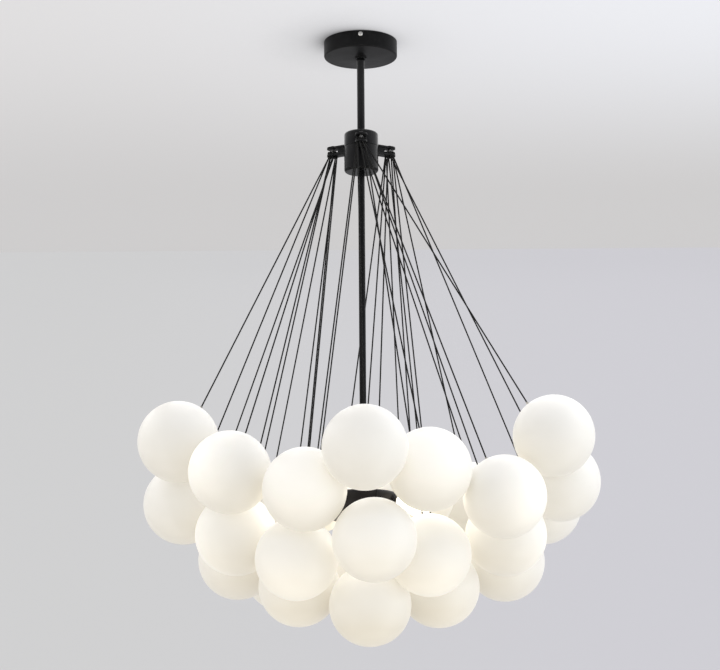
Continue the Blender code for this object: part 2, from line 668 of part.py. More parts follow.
def lamp_body():
    """A hollow drum with a boss for the rod and three bulb holders that point outwards."""
    radius = LAMP_DIAMETER / 2
    inside = radius - LAMP_WALL
    bore = CENTRAL_ROD_DIAMETER / 2 + SEAT_GAP
    boss = LAMP_BOSS_DIAMETER / 2
    centre = radius - LAMP_ROUNDING
    roof = LAMP_TOP - LAMP_WALL
    floor = LAMP_BOTTOM + LAMP_WALL
    outline = [(bore, LAMP_TOP)]
    outline += rounded(centre, LAMP_TOP - LAMP_ROUNDING, LAMP_ROUNDING, 90, 0)
    outline += rounded(centre, LAMP_BOTTOM + LAMP_ROUNDING, LAMP_ROUNDING, 0, -90)
    outline += [(CORD_HOLE_RADIUS, LAMP_BOTTOM), (CORD_HOLE_RADIUS, floor)]
    outline += [(centre, floor), (inside, LAMP_BOTTOM + LAMP_ROUNDING), (inside, LAMP_TOP - LAMP_ROUNDING)]
    outline += [(centre, roof), (boss, roof), (boss, LAMP_TOP - LAMP_BOSS_HEIGHT)]
    outline += [(bore, LAMP_TOP - LAMP_BOSS_HEIGHT)]
    made = turned("lamp_body", outline, BLACK_METAL)
    mouth = radius + HOLDER_PROUD
    back = BULB_REACH - BULB_DIAMETER / 2 - BULB_CAP_LENGTH - holder_depth()
    holders = []
    bores = []
    for bearing in BULB_BEARINGS:
        start = around(bearing, back - HOLDER_BACK, LAMP_MIDDLE)
        seat = around(bearing, back, LAMP_MIDDLE)
        end = around(bearing, mouth, LAMP_MIDDLE)
        past = around(bearing, mouth + OVERRUN, LAMP_MIDDLE)
        holders.append(cylinder("holder", HOLDER_DIAMETER / 2, start, end, sides=SMALL_SIDES))
        bores.append(cylinder("holder_bore", BULB_CAP_DIAMETER / 2 + SEAT_GAP, seat, past, sides=SMALL_SIDES))
    joined(made, *holders)
    return cut(made, *bores)


def holder_depth():
    """How far the bulb's neck stands out from the globe of its glass."""
    return BULB_DIAMETER / 2 - sqrt((BULB_DIAMETER / 2) ** 2 - (BULB_NECK_DIAMETER / 2) ** 2) + HOLDER_PROUD


def bulb(number, bearing):
    radius = BULB_DIAMETER / 2
    cap = BULB_CAP_DIAMETER / 2
    neck = BULB_NECK_DIAMETER / 2
    back = BULB_REACH - radius - BULB_CAP_LENGTH - holder_depth() + SEAT_GAP
    shoulder = LAMP_DIAMETER / 2 + HOLDER_PROUD + SEAT_GAP
    start = pi - asin(neck / radius)
    outline = [(0, back), (cap, back), (cap, shoulder)]
    for k in range(ROUNDING_STEPS * 3):
        turn = start - start * k / (ROUNDING_STEPS * 3)
        outline.append((radius * sin(turn), BULB_REACH + radius * cos(turn)))
    outline.append((0, BULB_REACH + radius))
    made = turned(f"bulb_{number}", outline, BULB_GLASS, SMALL_SIDES)
    made.rotation_euler = (0, pi / 2, radians(bearing))
    made.location = (0, 0, LAMP_MIDDLE)
    return made


def through(points, steps):
    """A smooth curve through these points."""
    padded = [2 * points[0] - points[1], *points, 2 * points[-1] - points[-2]]
    out = []
    for a, b, c, d in zip(padded, padded[1:], padded[2:], padded[3:]):
        for k in range(steps):
            t = k / steps
            bend = (2 * a - 5 * b + 4 * c - d) * t**2 + (3 * b - a - 3 * c + d) * t**3
            out.append((2 * b + (c - a) * t + bend) / 2)
    return out + [points[-1]]


def supply_cable():
    """From the terminal block's underside through the rods to the back of a bulb holder."""
    outer = UPPER_ROD_DIAMETER / 2
    slot_top = NUT_BOTTOM - CABLE_SLOT_DROP
    exit_level = slot_top - CABLE_SLOT_HEIGHT / 3
    turn_level = exit_level - CABLE_SLOT_HEIGHT
    start = Vector((0, TERMINAL_OFFSET, TERMINAL_BOTTOM - SEAT_GAP))
    top = [
        start - Vector((0, 0, CABLE_DIAMETER)),
        Vector((0, (TERMINAL_OFFSET + outer) / 2, exit_level - CABLE_SAG / 2)),
        Vector((0, outer * 0.8, exit_level - CABLE_DIAMETER / 4)),
        Vector((0, outer * 0.15, (exit_level + turn_level) / 2 - CABLE_DIAMETER / 4)),
        Vector((0, 0, turn_level - CABLE_DIAMETER / 2)),
    ]
    back = BULB_REACH - BULB_DIAMETER / 2 - BULB_CAP_LENGTH - holder_depth() - HOLDER_BACK - SEAT_GAP
    loose = LAMP_TOP - CABLE_END_DROP
    bottom = [
        Vector((0, 0, loose)),
        Vector((0, back * 0.25, (loose + LAMP_MIDDLE * 2) / 3 - CABLE_DIAMETER / 4)),
        Vector((0, back - CABLE_DIAMETER, LAMP_MIDDLE)),
    ]
    points = [start, *through(top, 4), *through(bottom, 4), Vector((0, back, LAMP_MIDDLE))]
    curve = bpy.data.curves.new("supply_cable", "CURVE")
    curve.dimensions = "3D"
    curve.bevel_depth = CABLE_DIAMETER / 2
    curve.bevel_resolution = 2
    curve.use_fill_caps = True
    spline = curve.splines.new("POLY")
    spline.points.add(len(points) - 1)
    for point, place in zip(spline.points, points):
        point.co = (*place, 1)
    curve.materials.append(CABLE_SHEATH)
    made = bpy.data.objects.new("supply_cable", curve)
    bpy.context.scene.collection.objects.link(made)
    return made


# Globes and cords
def globe_mesh():
    """A hollow ball with one small hole at its pole, for the cord."""
    outline = []
    for radius, rings, way in ((GLOBE_RADIUS, GLOBE_RINGS, 1), (GLOBE_RADIUS - GLOBE_WALL, INNER_RINGS, -1)):
        start = asin(CORD_HOLE_RADIUS / radius)
        turns = [start + (pi - start) * k / rings for k in range(rings)]
        arc = [(radius * sin(t), radius * cos(t)) for t in turns] + [(0, -radius)]
        outline += arc[::way]
    mesh = turned_mesh(outline, GLOBE_SIDES)
    bmesh.ops.recalc_face_normals(mesh, faces=mesh.faces)
    data = bpy.data.meshes.new("globe")
    mesh.to_mesh(data)
    mesh.free()
    data.shade_smooth()
    data.materials.append(FROSTED_GLASS)
    return data


def globe(number, shared, place, pole):
    made = bpy.data.objects.new(f"globe_{number:02d}", shared.copy())
    made.rotation_mode = "QUATERNION"
    made.rotation_quaternion = Vector(pole).to_track_quat("Z", "Y")
    made.location = place
    bpy.context.scene.collection.objects.link(made)
    return made


def cord_end(place, pole):
    """Points and radii of a cord's end: ferrule on the glass, stub through its hole, stop inside."""
    place, pole = Vector(place), Vector(pole)
    cord, ferrule, stop = CORD_DIAMETER / 2, FERRULE_DIAMETER / 2, STOP_DIAMETER / 2
    foot = GLOBE_RADIUS + SEAT_GAP
    inside = GLOBE_RADIUS - GLOBE_WALL - SEAT_GAP
    steps = [(foot + FERRULE_HEIGHT, cord), (foot + FERRULE_HEIGHT, ferrule), (foot, ferrule), (foot, cord)]
    steps += [(inside, cord), (inside - STOP_HEIGHT, stop)]
    return [place + pole * far for far, _ in steps], [radius for _, radius in steps]


def cord_ring(arm, bearing):
    """The loop of cord round the pin, on the lower plate, that the arm's cords are tied to."""
    minor = CORD_RING_DIAMETER / 2
    major = CORD_CIRCLE_DIAMETER / 2
    angles = [2 * pi * k / CORD_SIDES for k in range(CORD_SIDES)]
    outline = [(major + minor * cos(t), minor * sin(t)) for t in angles]
    made = turned(f"cord_set_{arm}", outline, BLACK_CORD, SMALL_SIDES + CORD_SIDES)
    made.location = around(bearing, ARM_REACH, LOWER_PLATE_TOP + SEAT_GAP + minor)
    return made


def cords(places, holes):
    """One solid of each arm's fixed cords, and a cord of its own for the centre globe and each swinging one."""
    directions = poles(places, holes)
    cord = CORD_DIAMETER / 2
    knot = LOWER_PLATE_TOP + SEAT_GAP + CORD_RING_DIAMETER / 2
    for arm, bearing in ARM_BEARINGS.items():
        strands = []
        for k, row in enumerate(PLACE_SHARES):
            if row[0] != arm:
                continue
            x, y, level = holes[k]
            points, radii = [Vector((x, y, knot)), Vector((x, y, level))], [cord, cord]
            if k + 1 not in SWINGING:
                end_points, end_radii = cord_end(places[k], directions[k])
                points, radii = points + end_points, radii + end_radii
            strands.append(finished("strand", swept_mesh(points, radii), BLACK_CORD))
        joined(cord_ring(arm, bearing), *strands)
    for k, row in enumerate(PLACE_SHARES):
        if k + 1 in SWINGING:
            swinging_cord(k, places[k], holes[k], directions[k])
        elif row[0] not in ARM_BEARINGS:
            floor = LAMP_BOTTOM + LAMP_WALL + SEAT_GAP
            stop = STOP_DIAMETER / 2
            points = [Vector((0, 0, floor + STOP_HEIGHT)), Vector((0, 0, floor)), Vector(holes[k])]
            end_points, end_radii = cord_end(places[k], directions[k])
            mesh = swept_mesh(points + end_points, [stop, cord, cord] + end_radii)
            finished("cord_centre", mesh, BLACK_CORD)


def swinging_cord(k, place, hole, pole):
    """A cord whose round top turns about its hole, with its globe, on an empty at that place."""
    pivot = Vector((hole[0], hole[1], PIVOT_LEVEL))
    cord = CORD_DIAMETER / 2
    end_points, end_radii = cord_end(place, pole)
    along = (end_points[0] - pivot).normalized()
    turns = [radians(angle) for angle in (30, 60, 90)]
    points = [pivot - along * cord * cos(t) for t in turns] + end_points
    radii = [cord * sin(t) for t in turns] + end_radii
    made = finished(f"cord_{k + 1:02d}", swept_mesh([p - pivot for p in points], radii), BLACK_CORD)
    empty = bpy.data.objects.new(f"swing_{k + 1:02d}", None)
    empty.location = pivot
    bpy.context.scene.collection.objects.link(empty)
    made.parent = empty


def main():
    places, holes = nest()
    directions = poles(places, holes)
    ceiling_bracket()
    canopy_cover()
    canopy_screw("canopy_screw_front", -1)
    canopy_screw("canopy_screw_back", 1)
    rod_nut()
    upper_rod()
    terminal_block()
    hub_shell("hub_upper_shell", HUB_SEAM + SEAT_GAP / 2, HUB_TOP, UPPER_PLATE_TOP, UPPER_ROD_DIAMETER)
    hub_shell("hub_lower_shell", HUB_SEAM - SEAT_GAP / 2, HUB_BOTTOM, LOWER_PLATE_BOTTOM, CENTRAL_ROD_DIAMETER)
    webs = [arm_web(bearing) for bearing in ARM_BEARINGS.values()]
    spider("upper_spider", UPPER_PLATE_BOTTOM, UPPER_ROD_BORE / 2, [], webs)
    hung = [hole for hole, row in zip(holes, PLACE_SHARES) if row[0] in ARM_BEARINGS]
    spider("lower_spider", LOWER_PLATE_BOTTOM, CENTRAL_ROD_DIAMETER / 2 + SEAT_GAP, hung)
    for arm, bearing in ARM_BEARINGS.items():
        arm_pin(arm, bearing)
    central_rod()
    lamp_body()
    for number, bearing in enumerate(BULB_BEARINGS, 1):
        bulb(number, bearing)
    supply_cable()
    cords(places, holes)
    shared = globe_mesh()
    for k, place in enumerate(places):
        made = globe(k + 1, shared, Vector(place), directions[k])
        if k + 1 in SWINGING:
            empty = bpy.data.objects[f"swing_{k + 1:02d}"]
            made.location -= empty.location
            made.parent = empty


main()
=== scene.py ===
import json
from math import acos, asin, cos, pi, radians, sin, sqrt, tan

import bmesh
import bpy
import numpy as np
from mathutils import Matrix, Vector


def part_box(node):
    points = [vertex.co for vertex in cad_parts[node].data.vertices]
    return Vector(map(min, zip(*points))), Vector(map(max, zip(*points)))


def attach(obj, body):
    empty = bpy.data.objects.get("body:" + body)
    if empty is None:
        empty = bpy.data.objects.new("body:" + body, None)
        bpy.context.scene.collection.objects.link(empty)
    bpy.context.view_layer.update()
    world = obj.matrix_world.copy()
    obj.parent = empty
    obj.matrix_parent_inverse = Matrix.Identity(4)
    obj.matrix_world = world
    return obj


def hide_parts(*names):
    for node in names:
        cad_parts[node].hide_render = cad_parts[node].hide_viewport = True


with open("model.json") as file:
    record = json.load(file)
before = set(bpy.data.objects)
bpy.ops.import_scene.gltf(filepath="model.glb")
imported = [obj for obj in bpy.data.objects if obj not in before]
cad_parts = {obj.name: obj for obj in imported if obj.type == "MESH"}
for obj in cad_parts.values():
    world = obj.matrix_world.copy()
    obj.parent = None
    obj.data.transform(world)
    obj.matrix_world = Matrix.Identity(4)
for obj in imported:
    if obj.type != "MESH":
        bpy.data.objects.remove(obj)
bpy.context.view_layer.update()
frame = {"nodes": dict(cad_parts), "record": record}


def linked(name, data):
    """A new object with this data, put into the scene."""
    made = bpy.data.objects.new(name, data)
    bpy.context.scene.collection.objects.link(made)
    return made


# The viewpoint: a long lens 1.3 m below the ceiling and 3.7 m in front of the rod, looking up by 12.8
# degrees. The picture is 720 by 670 and leans by 0.4 degrees.
camera_data = bpy.data.cameras.new("camera")
camera_data.sensor_fit = "HORIZONTAL"
camera_data.sensor_width = 36
camera_data.lens = 126.8
camera_data.clip_end = 60
camera = linked("camera", camera_data)
camera.matrix_world = (
    Matrix.Translation((-0.0037, -3.700, -1.299))
    @ Matrix.Rotation(radians(102.76), 4, "X")
    @ Matrix.Rotation(radians(-0.38), 4, "Z")
)
bpy.context.scene.camera = camera
bpy.context.scene.view_settings.view_transform = "Standard"


# The room: a pale ceiling right above the bracket, a pale wall behind and a plain pale floor, each lit
# softly. Seen from its outer side a face of the room is clear, so that the chandelier also shows from behind
# and above.
class Wire:
    """A socket in a node tree. Sums with it write Math nodes; any other node comes from its node method."""

    def __init__(self, tree, socket=None):
        self.tree = tree
        self.socket = socket

    def node(self, kind, settings=None, values=None, out=0):
        made = self.tree.nodes.new(kind)
        for key, value in (settings or {}).items():
            setattr(made, key, value)
        for key, value in (values or {}).items():
            if isinstance(value, Wire):
                self.tree.links.new(value.socket, made.inputs[key])
            else:
                made.inputs[key].default_value = value
        return Wire(self.tree, made.outputs[out] if len(made.outputs) else None)

    def math(self, operation, *terms):
        return self.node("ShaderNodeMath", {"operation": operation}, dict(enumerate(terms)))

    def __add__(self, other):
        return self.math("ADD", self, other)

    __radd__ = __add__

    def __rsub__(self, other):
        return self.math("SUBTRACT", other, self)

    def __mul__(self, other):
        return self.math("MULTIPLY", self, other)

    __rmul__ = __mul__

    def __truediv__(self, other):
        return self.math("DIVIDE", self, other)

    def between(self, low, high):
        """0 below low and 1 above high, with a soft step."""
        settings = {"interpolation_type": "SMOOTHSTEP"}
        return self.node("ShaderNodeMapRange", settings, {"Value": self, "From Min": low, "From Max": high})

    def place(self):
        """The object's own coordinates, in metres."""
        return self.node("ShaderNodeTexCoord", out="Object")

    def axis(self, place, number):
        """One of the three coordinates of a place."""
        return self.node("ShaderNodeSeparateXYZ", {}, {0: place}, out=number)

    def stored(self, name):
        """A number that the mesh keeps for each of its points."""
        return self.node("ShaderNodeAttribute", {"attribute_name": name}, out="Fac")

    def noise(self, place, scale, detail=2.0, roughness=0.5):
        values = {"Vector": place, "Scale": scale, "Detail": detail, "Roughness": roughness}
        return self.node("ShaderNodeTexNoise", {}, values)

    def blend(self, factor, first, second):
        """A colour between two colours."""
        first, second = (c if isinstance(c, Wire) else (*c, 1) for c in (first, second))
        return self.node("ShaderNodeMix", {"data_type": "RGBA"}, {0: factor, 6: first, 7: second}, out=2)

    def bump(self, height, distance):
        return self.node("ShaderNodeBump", {}, {"Height": height, "Distance": distance})


def new_look(name):
    """A material with an empty node tree, ready to be written."""
    material = bpy.data.materials.new(name)
    material.use_nodes = True
    material.node_tree.nodes.clear()
    return material, Wire(material.node_tree)


def shown(wire, shader):
    wire.node("ShaderNodeOutputMaterial", {}, {"Surface": shader})


def finished(material, wire, values):
    """The material, shown by one Principled shader with these values."""
    shown(wire, wire.node("ShaderNodeBsdfPrincipled", {}, values))
    return material


# Painted shadow round what stands near the middle of a room face: its strength on the left and right, the
# least light it keeps, its reach and where it fades.
LEFT_SHADE = 1.6
RIGHT_SHADE = 0.55
LEAST_LIGHT = 0.3
SHADE_REACH = 0.2
SHADE_FADES = (0.3, 0.5)


def room_face(name, corners, near_left, near_right, far, near_y, far_y, seen_share):
    """One flat face of the room, its paint even or with painted light, paler toward the front and to one
    side.
    The order of its corners turns it inward. What stands on it near the middle casts a soft painted shadow
    into its colour, more on the left, away from the brighter side."""
    mesh = bpy.data.meshes.new(name)
    mesh.from_pydata(corners, [], [range(len(corners))])
    material, wire = new_look(name)
    place = wire.place()
    side = wire.axis(place, 0).between(-0.6, 0.6)
    depth = wire.axis(place, 1).between(near_y, far_y)
    paint = wire.blend(depth, wire.blend(side, near_left, near_right), far)
    diffuse = wire.node("ShaderNodeBsdfDiffuse", {}, {"Color": paint})
    open_air = wire.node("ShaderNodeAmbientOcclusion", {"samples": 16}, {"Distance": SHADE_REACH}, out="AO")
    from_middle = wire.node("ShaderNodeVectorMath", {"operation": "LENGTH"}, {0: place}, out="Value")
    away = from_middle.between(*SHADE_FADES)
    right = wire.axis(place, 0).between(-0.06, 0.06)
    shade = LEFT_SHADE - right * (LEFT_SHADE - RIGHT_SHADE)
    # Painted shadow: the paint seen by the camera is darkened near what stands close by.
    kept_light = wire.math("MAXIMUM", 1.0 - (1.0 - open_air) * (1.0 - away) * shade, LEAST_LIGHT)
    shaded = wire.node("ShaderNodeVectorMath", {"operation": "SCALE"}, {0: paint, "Scale": kept_light})
    seen = wire.node("ShaderNodeEmission", {}, {"Color": shaded, "Strength": 1.0})
    straight, mirrored, through = (
        wire.node("ShaderNodeLightPath", out=f"Is {ray} Ray") for ray in ("Camera", "Glossy", "Transmission")
    )
    share = wire.math("MINIMUM", straight + mirrored + through, 1.0) * seen_share
    painted = wire.node("ShaderNodeMixShader", {}, {0: share, 1: diffuse, 2: seen})
    outside = wire.node("ShaderNodeNewGeometry", out="Backfacing")
    clear = wire.node("ShaderNodeBsdfTransparent")
    shown(wire, wire.node("ShaderNodeMixShader", {}, {0: outside, 1: painted, 2: clear}))
    mesh.materials.append(material)
    linked(name, mesh)


ROOM_HALF = 3.5
WALL_Y = 1.26
FLOOR_Z = -2.55
CEILING_Z = 0.0006
# The ceiling's paint holds painted light: paler toward the front and on the right.
room_face(
    "ceiling",
    [(-ROOM_HALF, WALL_Y, CEILING_Z), (ROOM_HALF, WALL_Y, CEILING_Z),
     (ROOM_HALF, -ROOM_HALF, CEILING_Z), (-ROOM_HALF, -ROOM_HALF, CEILING_Z)],
    (0.76, 0.75, 0.755), (0.87, 0.88, 0.92), (0.63, 0.62, 0.62), near_y=-0.3, far_y=0.9, seen_share=0.95,
)
room_face(
    "wall",
    [(-ROOM_HALF, WALL_Y, FLOOR_Z), (ROOM_HALF, WALL_Y, FLOOR_Z),
     (ROOM_HALF, WALL_Y, CEILING_Z), (-ROOM_HALF, WALL_Y, CEILING_Z)],
    (0.635, 0.635, 0.64), (0.625, 0.62, 0.66), (0.63, 0.625, 0.65), near_y=2.0, far_y=3.0, seen_share=0.95,
)
room_face(
    "floor",
    [(-ROOM_HALF, -ROOM_HALF, FLOOR_Z), (ROOM_HALF, -ROOM_HALF, FLOOR_Z),
     (ROOM_HALF, ROOM_HALF, FLOOR_Z), (-ROOM_HALF, ROOM_HALF, FLOOR_Z)],
    (0.77, 0.73, 0.67), (0.77, 0.74, 0.69), (0.76, 0.73, 0.68), near_y=-1.0, far_y=5.0, seen_share=0.5,
)

# The air is even, a little brighter and cooler on the right, and soft lamps stand round and above the light.
world = bpy.data.worlds.new("room_light")
world.use_nodes = True
world.node_tree.nodes.clear()
air = Wire(world.node_tree)
way = air.node("ShaderNodeTexCoord", out="Generated")
air_side = air.axis(way, 0).between(-0.8, 0.8)
air_light = air.blend(air_side, (0.98, 0.975, 0.965), (1.02, 1.045, 1.09))
air_seen = air.node("ShaderNodeLightPath", out="Is Camera Ray")
air_color = air.blend(air_seen, air_light, (0.66, 0.66, 0.67))
air_glow = air.node("ShaderNodeBackground", {}, {"Color": air_color, "Strength": 1.0})
air.node("ShaderNodeOutputWorld", {}, {"Surface": air_glow})
bpy.context.scene.world = world
MIDDLE = Vector((0, 0, -0.65))
DOWN = Vector((0, 0, -1))
for name, place, size, power, color in (
    ("lamp_above_left", (-1.4, 0.2, -0.03), 1.5, 6, (1, 1, 1)),
    ("lamp_above_right", (1.4, 0.2, -0.03), 1.5, 7, (0.95, 0.98, 1)),
    ("lamp_above_back", (0.3, 0.5, -0.03), 1.4, 7, (1, 1, 1)),
    ("lamp_left", (-2.2, -1.6, -0.5), 1.5, 2, (1, 1, 1)),
    ("lamp_right", (2.4, -0.8, -0.5), 1.5, 5, (0.93, 0.97, 1)),
    ("lamp_below_left", (-1.3, -0.5, -2.2), 1.2, 5, (1, 0.99, 0.97)),
    ("lamp_below_right", (1.3, -0.5, -2.2), 1.2, 7, (0.97, 0.99, 1)),
):
    data = bpy.data.lights.new(name, "AREA")
    data.shape = "SQUARE"
    data.size = size
    data.energy = power
    data.color = color
    lamp = linked(name, data)
    lamp.visible_camera = False
    way = DOWN if name.startswith("lamp_above") else MIDDLE - Vector(place)
    lamp.matrix_world = Matrix.Translation(place) @ way.to_track_quat("-Z", "Y").to_matrix().to_4x4()


# Ceiling bracket: a strap of zinc-plated sheet steel with both ends bent down, screwed to the ceiling through
# two round holes. A threaded boss in its middle takes the rod, and a slot in each end takes a canopy screw.
def zinc_plated():
    material, wire = new_look("zinc_plated_steel")
    place = wire.place()
    cells = {"Vector": place, "Scale": 420.0}
    spangle = wire.node("ShaderNodeTexVoronoi", {"feature": "SMOOTH_F1"}, cells, out="Color")
    grey = wire.node("ShaderNodeSeparateColor", {}, {"Color": spangle}, out=0)
    tint = wire.noise(place, 60.0, 3.0).between(0.35, 0.7)
    cool = wire.blend(grey, (0.50, 0.52, 0.54), (0.64, 0.65, 0.66))
    color = wire.blend(tint * 0.5, cool, (0.60, 0.56, 0.47))
    rough = 0.30 + grey * 0.12 + wire.noise(place, 900.0, 2.0) * 0.10
    normal = wire.bump(grey + wire.noise(place, 1500.0, 2.0) * 0.5, 0.00003)
    values = {"Base Color": color, "Metallic": 1.0, "Roughness": rough, "Normal": normal}
    return finished(material, wire, values)


SHARP_ANGLE = radians(32)


def object_of(name, mesh, *looks):
    """A scene object of this bmesh, smooth but for its edges."""
    bmesh.ops.remove_doubles(mesh, verts=mesh.verts, dist=1e-7)
    bmesh.ops.recalc_face_normals(mesh, faces=mesh.faces)
    data = bpy.data.meshes.new(name)
    mesh.to_mesh(data)
    mesh.free()
    data.shade_smooth()
    data.set_sharp_from_angle(angle=SHARP_ANGLE)
    for look in looks:
        data.materials.append(look)
    return linked(name, data)


def oblong(left, near, right, far, *ease):
    """The corners of a rectangle, each with its rounding radius if one is given."""
    return [(x, y, *ease) for x, y in ((left, near), (right, near), (right, far), (left, far))]


def eased(corners, steps=4):
    """A closed outline whose corners that carry a third number are rounded by that radius."""
    points = []
    for k, corner in enumerate(corners):
        here = Vector(corner[:2])
        if len(corner) < 3:
            points.append(tuple(here))
            continue
        back = Vector(corners[k - 1][:2]) - here
        ahead = Vector(corners[(k + 1) % len(corners)][:2]) - here
        half = back.angle(ahead) / 2
        size = min(corner[2], 0.499 * min(back.length, ahead.length) * tan(half))
        middle = here + (back.normalized() + ahead.normalized()).normalized() * size / sin(half)
        first = here + back.normalized() * size / tan(half) - middle
        last = here + ahead.normalized() * size / tan(half) - middle
        sweep = first.angle_signed(last)
        for n in range(steps + 1):
            turn = -sweep * n / steps
            points.append((
                middle.x + first.x * cos(turn) - first.y * sin(turn),
                middle.y + first.x * sin(turn) + first.y * cos(turn),
            ))
    return points


def turned(outline, sides=64, frame_of=Matrix.Identity(4)):
    """A bmesh of the closed outline of radii and heights, turned about Z and put in place."""
    mesh = bmesh.new()
    rings = []
    for radius, height in outline:
        count = sides if radius > 1e-9 else 1
        turns = [2 * pi * n / sides for n in range(count)]
        ring = [(radius * cos(turn), radius * sin(turn), height) for turn in turns]
        rings.append([mesh.verts.new(frame_of @ Vector(point)) for point in ring])
    for first, second in zip(rings, rings[1:] + rings[:1]):
        if len(first) == 1 and len(second) == 1:
            continue
        for n in range(sides):
            after = (n + 1) % sides
            corners = [first[n % len(first)], first[after % len(first)]]
            corners += [second[after % len(second)], second[n % len(second)]]
            mesh.faces.new(list(dict.fromkeys(corners)))
    return mesh


def pressed(outline, bottom, top, across=None):
    """A bmesh of a flat outline given thickness from bottom to top; across turns it into another plane."""
    mesh = bmesh.new()
    low = [mesh.verts.new((x, y, bottom)) for x, y in outline]
    high = [mesh.verts.new((x, y, top)) for x, y in outline]
    mesh.faces.new(low[::-1])
    mesh.faces.new(high)
    for n in range(len(low)):
        after = (n + 1) % len(low)
        mesh.faces.new((low[n], low[after], high[after], high[n]))
    if across is not None:
        mesh.transform(across)
    return mesh


def drill(radius, low, high, sides, frame_of=Matrix.Identity(4)):
    """A plain round cutter along Z from low to high, put in place."""
    return object_of("drill", turned([(0, low), (radius, low), (radius, high), (0, high)], sides, frame_of))


def plain_mesh(name, source):
    """The source object's shape after its modifiers, as a mesh of its own."""
    bpy.context.view_layer.update()
    view = bpy.context.evaluated_depsgraph_get()
    shape = source.evaluated_get(view)
    data = bpy.data.meshes.new_from_object(shape, preserve_all_data_layers=True, depsgraph=view)
    data.name = name
    return data


def trimmed(made, cutters, added=(), bevel=0.0):
    """Joins and cuts other shapes, then breaks the edges with a small bevel."""
    for other, operation in [(o, "UNION") for o in added] + [(o, "DIFFERENCE") for o in cutters]:
        modifier = made.modifiers.new("shape", "BOOLEAN")
        modifier.operation = operation
        modifier.solver = "EXACT"
        modifier.object = other
    if bevel:
        modifier = made.modifiers.new("edges", "BEVEL")
        modifier.width = bevel
        modifier.segments = 2
        modifier.limit_method = "ANGLE"
        modifier.angle_limit = radians(40)
    data = plain_mesh(made.name, made)
    made.modifiers.clear()
    made.data = data
    for other in [*added, *cutters]:
        bpy.data.objects.remove(other)
    data.shade_smooth()
    data.set_sharp_from_angle(angle=SHARP_ANGLE)


def riding(made, body, slot, *nodes):
    """The finished piece stands for its CAD nodes, which it hides, and moves with its body."""
    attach(made, body)
    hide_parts(*nodes)


# These turn a flat outline so that it faces along X or along Y. GAP is left between parts that touch.
FACING_X = Matrix(((0, 0, 1, 0), (1, 0, 0, 0), (0, 1, 0, 0), (0, 0, 0, 1)))
FACING_Y = Matrix(((1, 0, 0, 0), (0, 0, 1, 0), (0, 1, 0, 0), (0, 0, 0, 1)))
GAP = 0.0003
ZINC = zinc_plated()
STRAP_WIDTH = 0.020
STRAP_SHEET = 0.0025
STRAP_DROP = 0.0125
STRAP_BEND = 0.0018
PAD_FROM = 0.0155
PAD_TO = 0.0305
PAD_PROUD = 0.0008
CEILING_HOLE = 0.005
CEILING_HOLE_SPACING = 0.076
SCREW_SLOT_HALF = 0.0021
SCREW_SLOT_TOP = -0.0041
BOSS_RADIUS = 0.010
BOSS_TOP = -0.0012
BOSS_BOTTOM = -0.0093
BOSS_ROOF = -0.004
ROD_RADIUS = 0.00575
strap_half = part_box("ceiling_bracket")[1].y
inner = strap_half - STRAP_SHEET
side = [(-strap_half, 0, STRAP_BEND + STRAP_SHEET), (-strap_half, -STRAP_DROP, 0.0006)]
side += [(-inner, -STRAP_DROP, 0.0006), (-inner, -STRAP_SHEET, STRAP_BEND)]
back_side = [(-y, z, size) for y, z, size in reversed(side)]
side += [(PAD_FROM, -STRAP_SHEET), (PAD_FROM, -STRAP_SHEET - PAD_PROUD, 0.0003)]
side += [(PAD_TO, -STRAP_SHEET - PAD_PROUD, 0.0003), (PAD_TO, -STRAP_SHEET)] + back_side
strap_shape = pressed(eased(side, 6), -STRAP_WIDTH / 2, STRAP_WIDTH / 2, FACING_X)
bracket = object_of("ceiling_strap", strap_shape, ZINC)
boss_outline = [(0, BOSS_BOTTOM), (BOSS_RADIUS, BOSS_BOTTOM, 0.0006), (BOSS_RADIUS, BOSS_TOP), (0, BOSS_TOP)]
boss = object_of("boss", turned(eased(boss_outline), 48), ZINC)
bracket_cuts = [drill(ROD_RADIUS + GAP, BOSS_BOTTOM - 0.001, BOSS_ROOF, 40)]
slot_outline = [(-SCREW_SLOT_HALF, -0.015), (SCREW_SLOT_HALF, -0.015)]
slot_outline += [(way * SCREW_SLOT_HALF, SCREW_SLOT_TOP, SCREW_SLOT_HALF) for way in (1, -1)]
for way in (-1, 1):
    hole_at = Matrix.Translation((0, way * CEILING_HOLE_SPACING / 2, 0))
    bracket_cuts.append(drill(CEILING_HOLE / 2, -0.004, 0.001, 24, hole_at))
    near, far = sorted((way * (inner - 0.001), way * (strap_half + 0.001)))
    bracket_cuts.append(object_of("slot", pressed(eased(slot_outline, 6), near, far, FACING_Y)))
trimmed(bracket, bracket_cuts, [boss], 0.0002)
riding(bracket, "fixture", "zinc_steel", "ceiling_bracket")

# Lock nut: a thin hexagon nut of zinc-plated steel, chamfered, run up the rod against the boss.
NUT_TOP = -0.0096
NUT_HEIGHT = 0.004
NUT_ACROSS = 0.018
reach = NUT_ACROSS / sqrt(3)
hexagon = [(reach * cos(pi * n / 3), reach * sin(pi * n / 3), 0.0004) for n in range(6)]
nut = object_of("lock_nut", pressed(eased(hexagon, 2), NUT_TOP - NUT_HEIGHT, NUT_TOP), ZINC)
trimmed(nut, [drill(ROD_RADIUS + GAP, NUT_TOP - 0.006, NUT_TOP + 0.002, 40)], (), 0.0004)
riding(nut, "fixture", "zinc_steel", "rod_nut")


